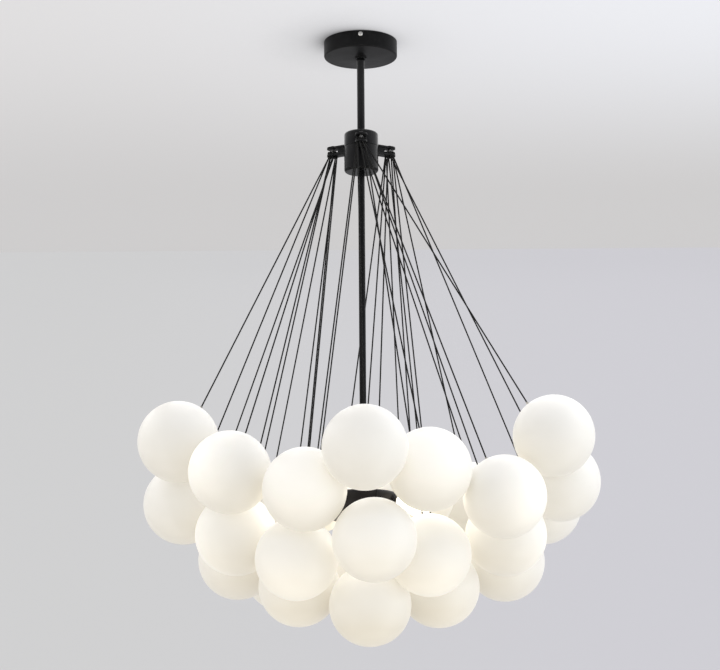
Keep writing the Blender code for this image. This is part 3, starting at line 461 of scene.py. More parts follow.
# Upper rod: a steel tube painted black, screwed into the bracket's boss and let into the hub. A slot near its
# top lets the cable in.
def black_paint(name, shade, rough_low, rough_high, peel=0.00002):
    """Baked black paint on metal: faint orange peel, uneven gloss, a little dust on what faces up."""
    material, wire = new_look(name)
    place = wire.place()
    cloud = wire.noise(place, 38.0, 4.0, 0.6)
    speck = wire.noise(place, 1700.0, 2.0).between(0.62, 0.78)
    up = wire.axis(wire.node("ShaderNodeNewGeometry", out="Normal"), 2)
    dust = up.between(0.3, 1.0) * wire.noise(place, 120.0, 3.0).between(0.35, 0.75) * 0.25
    base = wire.blend(cloud.between(0.3, 0.75), tuple(c * 0.7 for c in shade), tuple(c * 1.4 for c in shade))
    color = wire.blend(dust, wire.blend(speck * 0.12, base, (0.05, 0.05, 0.052)), (0.060, 0.058, 0.056))
    rough = rough_low + (rough_high - rough_low) * cloud.between(0.25, 0.8) + dust * 0.4
    normal = wire.bump(wire.noise(place, 620.0, 2.0) + wire.noise(place, 2600.0, 1.0) * 0.3, peel)
    values = {"Base Color": color, "Roughness": rough, "Normal": normal, "Specular IOR Level": 0.11}
    return finished(material, wire, values)


ROD_PAINT = black_paint("black_rod_paint", (0.005, 0.005, 0.0055), 0.34, 0.44)
UPPER_ROD_BOTTOM = -0.1612
UPPER_BORE = 0.0037
UPPER_ROD_TOP = BOSS_ROOF - GAP
MOUTH_TOP = -0.0144
MOUTH_BOTTOM = -0.0216
MOUTH_HALF = 0.0019
tube = [(ROD_RADIUS, UPPER_ROD_TOP, 0.0005), (ROD_RADIUS, UPPER_ROD_BOTTOM, 0.0003)]
tube += [(UPPER_BORE, UPPER_ROD_BOTTOM, 0.0002), (UPPER_BORE, UPPER_ROD_TOP, 0.0002)]
upper_rod = object_of("upper_rod_tube", turned(eased(tube, 3), 48), ROD_PAINT)
mouth = oblong(-MOUTH_HALF, MOUTH_BOTTOM, MOUTH_HALF, MOUTH_TOP, MOUTH_HALF)
trimmed(upper_rod, [object_of("cable_mouth", pressed(eased(mouth, 6), 0.0001, 0.008, FACING_Y))])
riding(upper_rod, "fixture", "black_metal", "upper_rod")


# Terminal block: a white moulded connector on the bracket's pad, with a groove between its two poles and a
# screw well at both ends of each.
def white_moulding(name, color):
    material, wire = new_look(name)
    place = wire.place()
    warm = wire.noise(place, 70.0, 3.0).between(0.3, 0.7)
    base = wire.blend(warm, color, tuple(c * 0.93 for c in color))
    rough = 0.42 + wire.noise(place, 400.0, 3.0) * 0.16
    normal = wire.bump(wire.noise(place, 2400.0, 2.0), 0.00001)
    return finished(material, wire, {"Base Color": base, "Roughness": rough, "Normal": normal})


WHITE_PLASTIC = white_moulding("white_moulded_plastic", (0.80, 0.80, 0.77))
WELL_RADIUS = 0.0017
WELL_DEPTH = 0.0035
WELL_X = 0.0046
WELL_Y = 0.0034
GROOVE_HALF = 0.0006
GROOVE_DEPTH = 0.003
block_low, block_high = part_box("terminal_block")
middle = (block_low + block_high) / 2
block_outline = oblong(block_low.x, block_low.y, block_high.x, block_high.y, 0.0012)
block = object_of("terminal_body", pressed(eased(block_outline), block_low.z, block_high.z), WHITE_PLASTIC)
groove_outline = oblong(-GROOVE_HALF, block_low.y - 0.001, GROOVE_HALF, block_high.y + 0.001)
groove_shape = pressed(groove_outline, block_low.z - 0.001, block_low.z + GROOVE_DEPTH)
block_cuts = [object_of("groove", groove_shape)]
for x in (-WELL_X, WELL_X):
    for y in (-WELL_Y, WELL_Y):
        well = Matrix.Translation((middle.x + x, middle.y + y, block_low.z))
        block_cuts.append(drill(WELL_RADIUS, -0.001, WELL_DEPTH, 20, well))
trimmed(block, block_cuts, (), 0.0003)
riding(block, "fixture", "white_plastic", "terminal_block")


# Canopy: a shallow cap spun from sheet steel and painted black, its edge against the ceiling. A rolled lip
# guides the rod, and once the two screws are out the cap slides down the rod.
CANOPY_PAINT = black_paint("black_canopy_paint", (0.007, 0.007, 0.0075), 0.38, 0.48, 0.00003)
CANOPY_RADIUS = 0.056
CANOPY_BOTTOM = -0.025
CANOPY_SHEET = 0.0015
ROD_HOLE = ROD_RADIUS + 0.0006
LIP_RADIUS = ROD_HOLE + 0.0028
LIP_BOTTOM = CANOPY_BOTTOM - 0.0025
SCREW_LEVEL = -0.0062
SCREW_HOLE = 0.0021
inner = CANOPY_RADIUS - CANOPY_SHEET
floor = CANOPY_BOTTOM + CANOPY_SHEET
cap = [(CANOPY_RADIUS, 0, 0.0004), (CANOPY_RADIUS, CANOPY_BOTTOM, 0.0027)]
cap += [(LIP_RADIUS, CANOPY_BOTTOM, 0.0009), (LIP_RADIUS, LIP_BOTTOM, 0.0009), (ROD_HOLE, LIP_BOTTOM, 0.0006)]
cap += [(ROD_HOLE, floor, 0.0004), (inner, floor, 0.0012), (inner, 0, 0.0004)]
canopy = object_of("canopy_cap", turned(eased(cap, 6), 128), CANOPY_PAINT)
along_y = Matrix.Translation((0, 0, SCREW_LEVEL)) @ Matrix.Rotation(-pi / 2, 4, "X")
trimmed(canopy, [drill(SCREW_HOLE, -0.058, 0.058, 24, along_y)])
riding(canopy, "canopy", "black_metal", "canopy_cover")


# Canopy screws: two bright screws with domed, cross-slotted heads, through the cap's wall into the bracket's
# ends.
def bright_metal(name, color, rough, line_scale):
    material, wire = new_look(name)
    place = wire.place()
    line = wire.noise(place, line_scale, 3.0, 0.7)
    smear = wire.noise(place, 180.0, 3.0).between(0.35, 0.7)
    base = wire.blend(smear, color, tuple(c * 0.82 for c in color))
    values = {
        "Base Color": base, "Metallic": 1.0, "Roughness": rough + line * 0.10 + smear * 0.08,
        "Normal": wire.bump(line, 0.000008),
    }
    return finished(material, wire, values)


BRIGHT_STEEL = bright_metal("bright_steel_polished", (0.70, 0.69, 0.67), 0.22, 2400.0)
THREAD_CORE = 0.0014
THREAD_CREST = 0.0017
THREAD_PITCH = 0.0006
HEAD_RADIUS = 0.0036
BLADE = oblong(-0.0022, -0.0004, 0.0022, 0.0004)
for name, way in (("canopy_screw_front", -1), ("canopy_screw_back", 1)):
    tip = min(abs(corner.y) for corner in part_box(name))
    seat = CANOPY_RADIUS + GAP
    outline = [(0, tip), (0.0013, tip, 0.0002)]
    thread = tip + THREAD_PITCH
    while thread < seat - 0.0022:
        outline += [(THREAD_CORE, thread), (THREAD_CREST, thread + 0.00018)]
        outline += [(THREAD_CREST, thread + 0.00028), (THREAD_CORE, thread + 0.00046)]
        thread += THREAD_PITCH
    outline += [(THREAD_CREST, seat - 0.001), (THREAD_CREST, seat), (HEAD_RADIUS, seat, 0.0002)]
    outline += [(HEAD_RADIUS, seat + 0.0010, 0.0008), (0.0022, seat + 0.0021, 0.0012), (0, seat + 0.0022)]
    outward = Matrix.Translation((0, 0, SCREW_LEVEL)) @ Matrix.Rotation(-way * pi / 2, 4, "X")
    shape = turned(eased(outline, 3), 32, outward)
    screw = object_of(name.replace("canopy", "cap"), shape, BRIGHT_STEEL)
    cuts = []
    for turn in (0, pi / 2):
        blade_at = outward @ Matrix.Rotation(turn + 0.4, 4, "Z")
        cuts.append(object_of("recess", pressed(BLADE, seat + 0.0012, seat + 0.003, blade_at)))
    trimmed(screw, cuts)
    riding(screw, "canopy", "bright_steel", name)


# Hub: two black painted cups pushed over the rods, one from above and one from below, meeting at a thin seam.
# Three windows at the seam let the plates' arms out.
HUB_PAINT = black_paint("black_hub_paint", (0.0045, 0.0045, 0.005), 0.24, 0.34, 0.00003)
HUB_RADIUS = 0.026
HUB_SHEET = 0.0025
HUB_TOP = -0.146
HUB_BOTTOM = -0.208
HUB_SEAM = -0.1687
HUB_BOSS = 0.0095
CENTRAL_HOLE = 0.0053
ARM_BEARINGS = {"right": 30, "left": 150, "front": 270}
ARM_HALF = 0.007
PLATE_TOPS = {"upper": -0.1615, "lower": -0.1729}
PLATE_SHEET = 0.003
WINDOW = oblong(0.018, -ARM_HALF - GAP, 0.030, ARM_HALF + GAP)
for name, end, plate, bore in (
    ("hub_upper_shell", HUB_TOP, PLATE_TOPS["upper"], ROD_RADIUS + GAP),
    ("hub_lower_shell", HUB_BOTTOM, PLATE_TOPS["lower"] - PLATE_SHEET, CENTRAL_HOLE),
):
    up = 1 if end > HUB_SEAM else -1
    seam = HUB_SEAM + up * GAP / 2
    seat = plate + up * GAP
    inner = HUB_RADIUS - HUB_SHEET
    roof = end - up * HUB_SHEET
    cup = [(HUB_RADIUS, seam, 0.0004), (HUB_RADIUS, end, 0.0042), (bore, end, 0.0003), (bore, seat)]
    cup += [(HUB_BOSS, seat), (HUB_BOSS, roof, 0.001), (inner, roof, 0.002), (inner, seam, 0.0003)]
    shape = turned(eased(cup, 8), 96)
    shell = object_of(name.replace("hub_", "hub_cup_").replace("_shell", ""), shape, HUB_PAINT)
    low, high = sorted((seam - up * 0.001, seat))
    windows = []
    for bearing in ARM_BEARINGS.values():
        turn = Matrix.Rotation(radians(bearing), 4, "Z")
        windows.append(object_of("window", pressed(WINDOW, low, high, turn)))
    trimmed(shell, windows, (), 0.00025)
    riding(shell, "fixture", "black_metal", name)


# Arm plates: two three-armed stars cut from black painted steel plate, held between the hub's cups. Each arm
# ends in a round pad with the pin's hole. The upper star has a rib welded under each arm, and the lower one
# has the cords' holes.
PLATE_PAINT = black_paint("black_plate_paint", (0.007, 0.007, 0.0075), 0.48, 0.58)
ARM_REACH = 0.050
PAD_RADIUS = 0.009
CORE_RADIUS = 0.020
WEB_HALF = 0.005
WEB_START = 0.0135
WEB_END = 0.0395
HANG_LEVEL = -0.1762
PIN_HOLE = 0.0028
CORD_HOLE = 0.0013
RIM_REACH = 0.0032


def globe_frame(name):
    """A globe's centre and the unit direction of its cord hole, found from its CAD node, where only the
    corners round the hole stand close together."""
    rows = np.array([v.co for v in frame["nodes"][name].data.vertices])
    rows = np.unique(np.round(rows, 6), axis=0)
    chosen = rows
    for _ in range(3):
        table = np.c_[2 * chosen, np.ones(len(chosen))]
        middle = np.linalg.lstsq(table, (chosen**2).sum(axis=1), rcond=None)[0][:3]
        far = np.linalg.norm(rows - middle, axis=1)
        chosen = rows[far > (far.max() + far.min()) / 2]
    spread = np.linalg.norm(chosen[:, None] - chosen[None], axis=2)
    rim = chosen[(spread < RIM_REACH).sum(axis=1) > 5]
    pole = Vector(rim.mean(axis=0) - middle).normalized()
    return Vector(middle), pole


GLOBE_RADIUS = 0.060
LEAN_SHARE = 1.2
LAMP_BOTTOM = -0.739
GLOBES = {name: globe_frame(name) for name in sorted(frame["nodes"]) if name.startswith("globe_")}
PINS = {}
for arm, bearing in ARM_BEARINGS.items():
    PINS[arm] = Vector((ARM_REACH * cos(radians(bearing)), ARM_REACH * sin(radians(bearing)), 0))
CENTRE_GLOBE = "globe_19"
CORD_HOLES = {}
for name, (middle, pole) in GLOBES.items():
    tilt = acos(pole.z) / LEAN_SHARE
    flat = Vector((pole.x, pole.y, 0)).normalized()
    hole = middle + flat * (HANG_LEVEL - middle.z) * tan(tilt)
    hole.z = HANG_LEVEL
    CORD_HOLES[name] = hole
CORD_HOLES[CENTRE_GLOBE] = Vector((0, 0, LAMP_BOTTOM - GAP))
for level, top in PLATE_TOPS.items():
    star = []
    for bearing in sorted(ARM_BEARINGS.values()):
        way = radians(bearing)
        root = sqrt(CORE_RADIUS**2 - ARM_HALF**2)
        arm = [(root, -ARM_HALF, 0.003)]
        spread = asin(ARM_HALF / PAD_RADIUS)
        for n in range(33):
            turn = -(pi - spread) + 2 * (pi - spread) * n / 32
            arm.append((ARM_REACH + PAD_RADIUS * cos(turn), PAD_RADIUS * sin(turn)))
        arm.append((root, ARM_HALF, 0.003))
        start = asin(ARM_HALF / CORE_RADIUS)
        for n in range(1, 8):
            turn = start + (2 * pi / 3 - 2 * start) * n / 8
            arm.append((CORE_RADIUS * cos(turn), CORE_RADIUS * sin(turn)))
        star += [(p[0] * cos(way) - p[1] * sin(way), p[0] * sin(way) + p[1] * cos(way), *p[2:]) for p in arm]
    plate = object_of(f"arm_plate_{level}", pressed(eased(star, 5), top - PLATE_SHEET, top), PLATE_PAINT)
    holes = [((0, 0), UPPER_BORE if level == "upper" else CENTRAL_HOLE)]
    holes += [((pin.x, pin.y), PIN_HOLE) for pin in PINS.values()]
    if level == "lower":
        holes += [((hole.x, hole.y), CORD_HOLE) for name, hole in CORD_HOLES.items() if name != CENTRE_GLOBE]
    cuts = []
    for (x, y), radius in holes:
        cuts.append(drill(radius, top - 0.005, top + 0.002, 24, Matrix.Translation((x, y, 0))))
    webs = []
    for bearing in ARM_BEARINGS.values() if level == "upper" else ():
        web = [(WEB_START, -WEB_HALF), (WEB_END, -WEB_HALF, 0.002)]
        web += [(WEB_END, WEB_HALF, 0.002), (WEB_START, WEB_HALF)]
        turn = Matrix.Rotation(radians(bearing), 4, "Z")
        shape = pressed(eased(web), PLATE_TOPS["lower"] + GAP, top - PLATE_SHEET / 2, turn)
        webs.append(object_of("web", shape))
    trimmed(plate, cuts, webs, 0.0003)
    riding(plate, "fixture", "black_metal", f"{level}_spider")

# Arm pins: satin steel rivets that hold each pair of pads apart, domed above and peened over below. The black
# paint of the plates covers both heads, so only the shank between the plates is bare.
PIN_STEEL = bright_metal("satin_pin_steel", (0.24, 0.235, 0.23), 0.40, 1700.0)
PIN_SHANK = 0.0025
PIN_COLLAR = 0.0031
PIN_FOOT = 0.004
PIN_HEAD = 0.0046
seat = PLATE_TOPS["upper"] + GAP
sole = PLATE_TOPS["lower"] - PLATE_SHEET - GAP
floor = PLATE_TOPS["lower"]
roof = PLATE_TOPS["upper"] - PLATE_SHEET
outline = [(0, sole - 0.0024), (PIN_FOOT, sole - 0.0024, 0.0009), (PIN_FOOT, sole, 0.0003), (PIN_SHANK, sole)]
outline += [(PIN_SHANK, floor + 0.0004, 0.0002), (PIN_COLLAR, floor + 0.0008, 0.0003)]
outline += [(PIN_COLLAR, roof - 0.0008, 0.0003), (PIN_SHANK, roof - 0.0004, 0.0002), (PIN_SHANK, seat)]
outline += [(PIN_HEAD, seat, 0.0003), (PIN_HEAD, seat + 0.0011, 0.0008), (0.0026, seat + 0.0022, 0.002)]
outline += [(0, seat + 0.0024)]
for arm, pin in PINS.items():
    shape = turned(eased(outline, 4), 40, Matrix.Translation(pin))
    rivet = object_of(f"arm_rivet_{arm}", shape, PIN_STEEL, PLATE_PAINT)
    for face in rivet.data.polygons:
        if not sole + PLATE_SHEET / 2 < face.center.z < seat - PLATE_SHEET / 2:
            face.material_index = 1
    riding(rivet, "fixture", "bright_steel", f"arm_pin_{arm}")

# Central rod: a thinner black painted tube from the hub down to the lamp body, in the middle of the cords.
CENTRAL_RADIUS = 0.005
CENTRAL_BORE = 0.0032
rod_low, rod_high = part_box("central_rod")
tube = [(CENTRAL_RADIUS, rod_high.z, 0.0003), (CENTRAL_RADIUS, rod_low.z, 0.0003)]
tube += [(CENTRAL_BORE, rod_low.z, 0.0002), (CENTRAL_BORE, rod_high.z, 0.0002)]
central_rod = object_of("central_rod_tube", turned(eased(tube, 3), 48), ROD_PAINT)
riding(central_rod, "fixture", "black_metal", "central_rod")

# Lamp body: a flat black drum on the end of the rod with three holders round its side, each a short grooved
# collar, for the bulbs that light the globes from inside.
LAMP_PAINT = black_paint("black_lamp_paint", (0.014, 0.013, 0.013), 0.30, 0.44)
LAMP_TOP = -0.701
LAMP_MIDDLE = -0.720
LAMP_RADIUS = 0.053
LAMP_SHEET = 0.0025
BULB_BEARINGS = (90, 210, 330)
BULB_REACH = 0.092
BULB_RADIUS = 0.0225
NECK_RADIUS = 0.012
HOLDER_PROUD = 0.007
HOLDER_BORE = 0.0073
LAMP_CORD_HOLE = 0.0014
LAMP_BOSS = 0.009
holder_depth = BULB_RADIUS - sqrt(BULB_RADIUS**2 - NECK_RADIUS**2) + HOLDER_PROUD
cap_back = BULB_REACH - BULB_RADIUS - 0.025 - holder_depth
inner = LAMP_RADIUS - LAMP_SHEET
floor = LAMP_BOTTOM + LAMP_SHEET
roof = LAMP_TOP - LAMP_SHEET
drum = [(CENTRAL_HOLE, LAMP_TOP, 0.0003), (LAMP_RADIUS, LAMP_TOP, 0.0074), (LAMP_RADIUS, LAMP_BOTTOM, 0.0074)]
drum += [(LAMP_CORD_HOLE, LAMP_BOTTOM), (LAMP_CORD_HOLE, floor), (inner, floor, 0.005), (inner, roof, 0.005)]
drum += [(LAMP_BOSS, roof), (LAMP_BOSS, LAMP_TOP - 0.009), (CENTRAL_HOLE, LAMP_TOP - 0.009)]
lamp_body = object_of("lamp_drum", turned(eased(drum, 8), 96), LAMP_PAINT)


def facing_out(bearing):
    """Lays a shape from Z along a bulb's axis, which starts in the middle of the lamp body."""
    turn = Matrix.Rotation(radians(bearing), 4, "Z") @ Matrix.Rotation(pi / 2, 4, "Y")
    return Matrix.Translation((0, 0, LAMP_MIDDLE)) @ turn


HOLDER_END = LAMP_RADIUS + HOLDER_PROUD
collar = [(0, cap_back - 0.003), (0.0118, cap_back - 0.003), (0.0118, HOLDER_END - 0.0048)]
collar += [(0.0112, HOLDER_END - 0.0044), (0.0112, HOLDER_END - 0.0034), (NECK_RADIUS, HOLDER_END - 0.0030)]
collar += [(NECK_RADIUS, HOLDER_END, 0.0008), (0, HOLDER_END)]
holders = []
mouths = []
for bearing in BULB_BEARINGS:
    holders.append(object_of("holder", turned(eased(collar, 3), 40, facing_out(bearing))))
    mouths.append(drill(HOLDER_BORE, cap_back, HOLDER_END + 0.001, 40, facing_out(bearing)))
trimmed(lamp_body, mouths, holders)
riding(lamp_body, "fixture", "black_metal", "lamp_body")


# Bulbs: three small round lamps of opal glass, each with a plain metal cap pushed into its holder. They are
# lit.
def lit_glass():
    material, wire = new_look("lit_opal_glass")
    place = wire.place()
    cloud = wire.noise(place, 90.0, 2.0).between(0.3, 0.7)
    color = wire.blend(cloud, (1.0, 0.93, 0.80), (1.0, 0.90, 0.74))
    values = {
        "Base Color": (0.95, 0.92, 0.86, 1), "Roughness": 0.16, "Coat Weight": 0.4, "Coat Roughness": 0.05,
        "Emission Color": color, "Emission Strength": 3.6,
    }
    return finished(material, wire, values)


LIT_GLASS = lit_glass()
BULB_CAP = bright_metal("bulb_cap_metal", (0.66, 0.65, 0.62), 0.22, 1500.0)
CAP_RADIUS = 0.007
BULB_NECK = 0.0105
shoulder = HOLDER_END + GAP
start = pi - asin(BULB_NECK / BULB_RADIUS)
outline = [(0, cap_back + GAP), (0.006, cap_back + GAP, 0.001), (CAP_RADIUS, cap_back + 0.0023, 0.0006)]
outline += [(CAP_RADIUS, shoulder), (0.0095, shoulder, 0.0005)]
for n in range(24):
    turn = start * (1 - n / 24)
    outline.append((BULB_RADIUS * sin(turn), BULB_REACH + BULB_RADIUS * cos(turn)))
outline.append((0, BULB_REACH + BULB_RADIUS))
for number, bearing in enumerate(BULB_BEARINGS, 1):
    outward = facing_out(bearing)
    glass = object_of(f"glow_bulb_{number}", turned(eased(outline, 3), 48, outward), LIT_GLASS, BULB_CAP)
    axis = outward.to_3x3() @ Vector((0, 0, 1))
    for face in glass.data.polygons:
        if (face.center - outward.translation).dot(axis) < shoulder - 0.0001:
            face.material_index = 1
    riding(glass, "fixture", "bulb_glass", f"bulb_{number}")

# Supply cable: a thin white round cable from the terminal block through both rods to the back of the bulb
# holder at the rear.
CABLE_SHEATH = white_moulding("white_cable_sheath", (0.76, 0.76, 0.73))
CABLE_RADIUS = 0.0015
cable_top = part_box("supply_cable")[1].z
bend = MOUTH_TOP - 0.0024
cable_route = [
    (0.023, cable_top), (0.023, cable_top - 0.0030), (0.0144, bend - 0.0016), (0.0046, bend - 0.0007),
    (0.0009, bend - 0.0043), (0, bend - 0.0087), (0, -0.10), (0, -0.40), (0, -0.695), (0, -0.713),
    (cap_back / 4, -0.7188), (cap_back - 0.0063, LAMP_MIDDLE), (cap_back - 0.0033, LAMP_MIDDLE),
]
cable_data = bpy.data.curves.new("supply_lead", "CURVE")
cable_data.dimensions = "3D"
cable_data.bevel_depth = CABLE_RADIUS
cable_data.bevel_resolution = 5
cable_data.use_fill_caps = True
cable_data.resolution_u = 8
spline = cable_data.splines.new("BEZIER")
spline.bezier_points.add(len(cable_route) - 1)
for point, place in zip(spline.bezier_points, cable_route):
    point.co = (0, *place)
    point.handle_left_type = point.handle_right_type = "AUTO"
cable_data.materials.append(CABLE_SHEATH)
cable_curve = linked("supply_lead_route", cable_data)
cable = linked("supply_lead", plain_mesh("supply_lead", cable_curve))
bpy.data.objects.remove(cable_curve)
cable.data.shade_smooth()
riding(cable, "fixture", "cable_sheath", "supply_cable")


# Cords: thin black cords laid from three strands. Each arm's cords come up through the lower pad and are
# looped over a ring of the same cord round the pin; each runs straight to its own globe.
def laid_cord_look():
    material, wire = new_look("black_laid_cord")
    place = wire.place()
    along = wire.stored("along")
    lobe = wire.stored("lobe")
    fibre = wire.noise(place, 3800.0, 3.0, 0.65)
    speck = wire.noise(place, 900.0, 2.0).between(0.55, 0.72)
    band = wire.math("SINE", along * (2 * pi / 0.0021)) * 0.5 + 0.5
    worn = wire.math("MINIMUM", speck * 0.45 + lobe.between(0.3, 1.0) * 0.25 + band * 0.10, 1.0)
    black = wire.blend(fibre, (0.004, 0.004, 0.004), (0.010, 0.0098, 0.0095))
    values = {
        "Base Color": wire.blend(worn, black, (0.045, 0.044, 0.043)), "Roughness": 0.62 + fibre * 0.25,
        "Normal": wire.bump(fibre, 0.00006), "Specular IOR Level": 0.15,
    }
    return finished(material, wire, values)


def rule_tree(name, numbers):
    """A geometry node tree that takes a shape and these numbers, its first wire, and its inputs by name."""
    tree = bpy.data.node_groups.new(name, "GeometryNodeTree")
    tree.interface.new_socket("Geometry", in_out="INPUT", socket_type="NodeSocketGeometry")
    for number in numbers:
        tree.interface.new_socket(number, in_out="INPUT", socket_type="NodeSocketFloat")
    tree.interface.new_socket("Geometry", in_out="OUTPUT", socket_type="NodeSocketGeometry")
    inputs = tree.nodes.new("NodeGroupInput").outputs
    return tree, Wire(tree), {socket.name: Wire(tree, socket) for socket in inputs}


def laid_cord_tree(look):
    """Geometry nodes that lay three strands along every spline of a curve."""
    tree, wire, taken = rule_tree("laid_cord", ("Cord Radius", "Lay", "Groove Share"))
    steps = {"Curve": taken["Geometry"], "Length": taken["Lay"] / 10.0}
    fine = wire.node("GeometryNodeResampleCurve", {"mode": "LENGTH"}, steps)
    travelled = wire.node("GeometryNodeSplineParameter", out="Length")
    turn = travelled * (2 * pi) / taken["Lay"]
    twisted = wire.node("GeometryNodeSetCurveTilt", {}, {"Curve": fine, "Tilt": turn})
    marked = wire.node(
        "GeometryNodeStoreNamedAttribute", {"data_type": "FLOAT", "domain": "POINT"},
        {"Geometry": twisted, "Name": "along", "Value": travelled},
    )
    round_size = {"Resolution": 12, "Radius": taken["Cord Radius"]}
    ring = wire.node("GeometryNodeCurvePrimitiveCircle", {}, round_size)
    wave = wire.math("COSINE", wire.node("GeometryNodeInputIndex") * (pi / 2))
    groove = 1.0 - taken["Groove Share"] * (0.5 - wave * 0.5)
    here = wire.node("GeometryNodeInputPosition")
    scaled = wire.node("ShaderNodeVectorMath", {"operation": "SCALE"}, {0: here, "Scale": groove})
    lobed = wire.node("GeometryNodeSetPosition", {}, {"Geometry": ring, "Position": scaled})
    lobed = wire.node(
        "GeometryNodeStoreNamedAttribute", {"data_type": "FLOAT", "domain": "POINT"},
        {"Geometry": lobed, "Name": "lobe", "Value": wave * 0.5 + 0.5},
    )
    swept = {"Curve": marked, "Profile Curve": lobed, "Fill Caps": True}
    solid = wire.node("GeometryNodeCurveToMesh", {}, swept)
    real = wire.node("GeometryNodeRealizeInstances", {}, {"Geometry": solid})
    dressed = wire.node("GeometryNodeSetMaterial", {}, {"Geometry": real, "Material": look})
    wire.node("NodeGroupOutput", {}, {"Geometry": dressed})
    return tree


def grown(name, source, tree, values):
    """The source object's shape after this tree, as a plain mesh of a new object; the source goes."""
    modifier = source.modifiers.new("rule", "NODES")
    modifier.node_group = tree
    for item in tree.interface.items_tree:
        if item.in_out == "INPUT" and item.name in values:
            modifier[item.identifier] = values[item.name]
    made = linked(name, plain_mesh(name, source))
    bpy.data.objects.remove(source)
    made.data.shade_smooth()
    return made


def routes(name, lines):
    """A curve object with one poly spline for each line; a line may be closed."""
    data = bpy.data.curves.new(name, "CURVE")
    data.dimensions = "3D"
    data.twist_mode = "MINIMUM"
    for points, closed in lines:
        spline = data.splines.new("POLY")
        spline.points.add(len(points) - 1)
        spline.use_cyclic_u = closed
        for point, place in zip(spline.points, points):
            point.co = (*place, 1)
    return linked(name, data)


CORD_RADIUS = 0.0012
CORD_LAY = 0.0075
RING_RADIUS = 0.0056
RING_THICK = 0.0011
FERRULE_HEIGHT = 0.004
KNOT_DEPTH = 0.006
NEAR_PIN = 0.012
LAID_CORD = laid_cord_tree(laid_cord_look())
CORD_SIZES = {"Cord Radius": CORD_RADIUS, "Lay": CORD_LAY, "Groove Share": 0.16}
RING_LEVEL = PLATE_TOPS["lower"] + GAP + RING_THICK
PIVOT_LEVEL = HANG_LEVEL - GAP - CORD_RADIUS
BODIES = frame["record"]["behaviour"]["bodies"]
GLOBE_BODY = {name: body for body, members in BODIES.items() for name in members if name in GLOBES}


def tail(name):
    """A cord's end on the line of the globe's hole: where it meets its ferrule, and its knot inside."""
    middle, pole = GLOBES[name]
    return [middle + pole * (GLOBE_RADIUS + FERRULE_HEIGHT), middle + pole * (GLOBE_RADIUS - KNOT_DEPTH)]


def hitch(pin, hole):
    """The turn of a cord over the ring round its pin, from its cut end to the ring's outer side."""
    out = Vector((hole.x - pin.x, hole.y - pin.y, 0)).normalized()
    core = Vector((pin.x, pin.y, RING_LEVEL)) + out * RING_RADIUS
    reach = RING_THICK + CORD_RADIUS
    turns = [0.7 * pi * (1 - n / 11) for n in range(12)]
    return [core + out * reach * cos(turn) + Vector((0, 0, reach * sin(turn))) for turn in turns]


def laid(name, lines, body, node):
    """The finished cords along these lines, in place of their CAD node."""
    riding(grown(name, routes(f"{name}_route", lines), LAID_CORD, CORD_SIZES), body, "black_cord", node)


for arm, pin in PINS.items():
    lines = []
    for name, hole in CORD_HOLES.items():
        if (hole - Vector((pin.x, pin.y, HANG_LEVEL))).length < NEAR_PIN:
            points = hitch(pin, hole) + [Vector((hole.x, hole.y, PLATE_TOPS["lower"])), hole]
            lines.append((points + (tail(name) if GLOBE_BODY[name] == "fixture" else []), False))
    turns = [2 * pi * n / 48 for n in range(48)]
    ring = [pin + Vector((RING_RADIUS * cos(turn), RING_RADIUS * sin(turn), RING_LEVEL)) for turn in turns]
    lines.append((ring, True))
    laid(f"cords_{arm}", lines, "fixture", f"cord_set_{arm}")
for name, hole in CORD_HOLES.items():
    if name == CENTRE_GLOBE:
        points = [Vector((0, 0, LAMP_BOTTOM + KNOT_DEPTH)), hole, *tail(name)]
        laid("cord_below_lamp", [(points, False)], "fixture", "cord_centre")
    elif GLOBE_BODY[name] != "fixture":
        number = name[-2:]
        points = [Vector((hole.x, hole.y, PIVOT_LEVEL)), *tail(name)]
        laid(f"swing_cord_{number}", [(points, False)], GLOBE_BODY[name], f"cord_{number}")


# Ferrules: each cord ends in a small crimped tube of satin nickel with a flange on the glass. A knot of cord
# inside the globe holds it.
FERRULE_METAL = bright_metal("satin_ferrule_nickel", (0.46, 0.44, 0.41), 0.30, 1900.0)


def ferrule_tree(look):
    """Geometry nodes that put a ferrule on every point, along that point's axis."""
    tree, wire, taken = rule_tree("ferrules", ("Flange Radius", "Tube Radius", "Height"))

    def drum(radius, depth, lift):
        made = wire.node("GeometryNodeMeshCylinder", {}, {"Vertices": 20, "Radius": radius, "Depth": depth})
        shift = wire.node("ShaderNodeCombineXYZ", {}, {"Z": lift})
        return wire.node("GeometryNodeTransform", {}, {"Geometry": made, "Translation": shift})

    high = taken["Height"]
    tube = taken["Tube Radius"]
    parts = [
        drum(taken["Flange Radius"], high * 0.22, high * 0.11),
        drum(tube, high * 0.70, high * 0.52),
        drum(tube * 1.28, high * 0.20, high * 0.50),
        drum(tube * 1.18, high * 0.16, high * 0.90),
    ]
    joined = wire.node("GeometryNodeJoinGeometry")
    for part in parts:
        tree.links.new(part.socket, joined.socket.node.inputs[0])
    axis = wire.node("GeometryNodeInputNamedAttribute", {"data_type": "FLOAT_VECTOR"}, {"Name": "axis"})
    turn = wire.node("FunctionNodeAlignRotationToVector", {"axis": "Z"}, {"Vector": axis})
    spread = {"Points": taken["Geometry"], "Instance": joined, "Rotation": turn}
    many = wire.node("GeometryNodeInstanceOnPoints", {}, spread)
    real = wire.node("GeometryNodeRealizeInstances", {}, {"Geometry": many})
    dressed = wire.node("GeometryNodeSetMaterial", {}, {"Geometry": real, "Material": look})
    wire.node("NodeGroupOutput", {}, {"Geometry": dressed})
    return tree


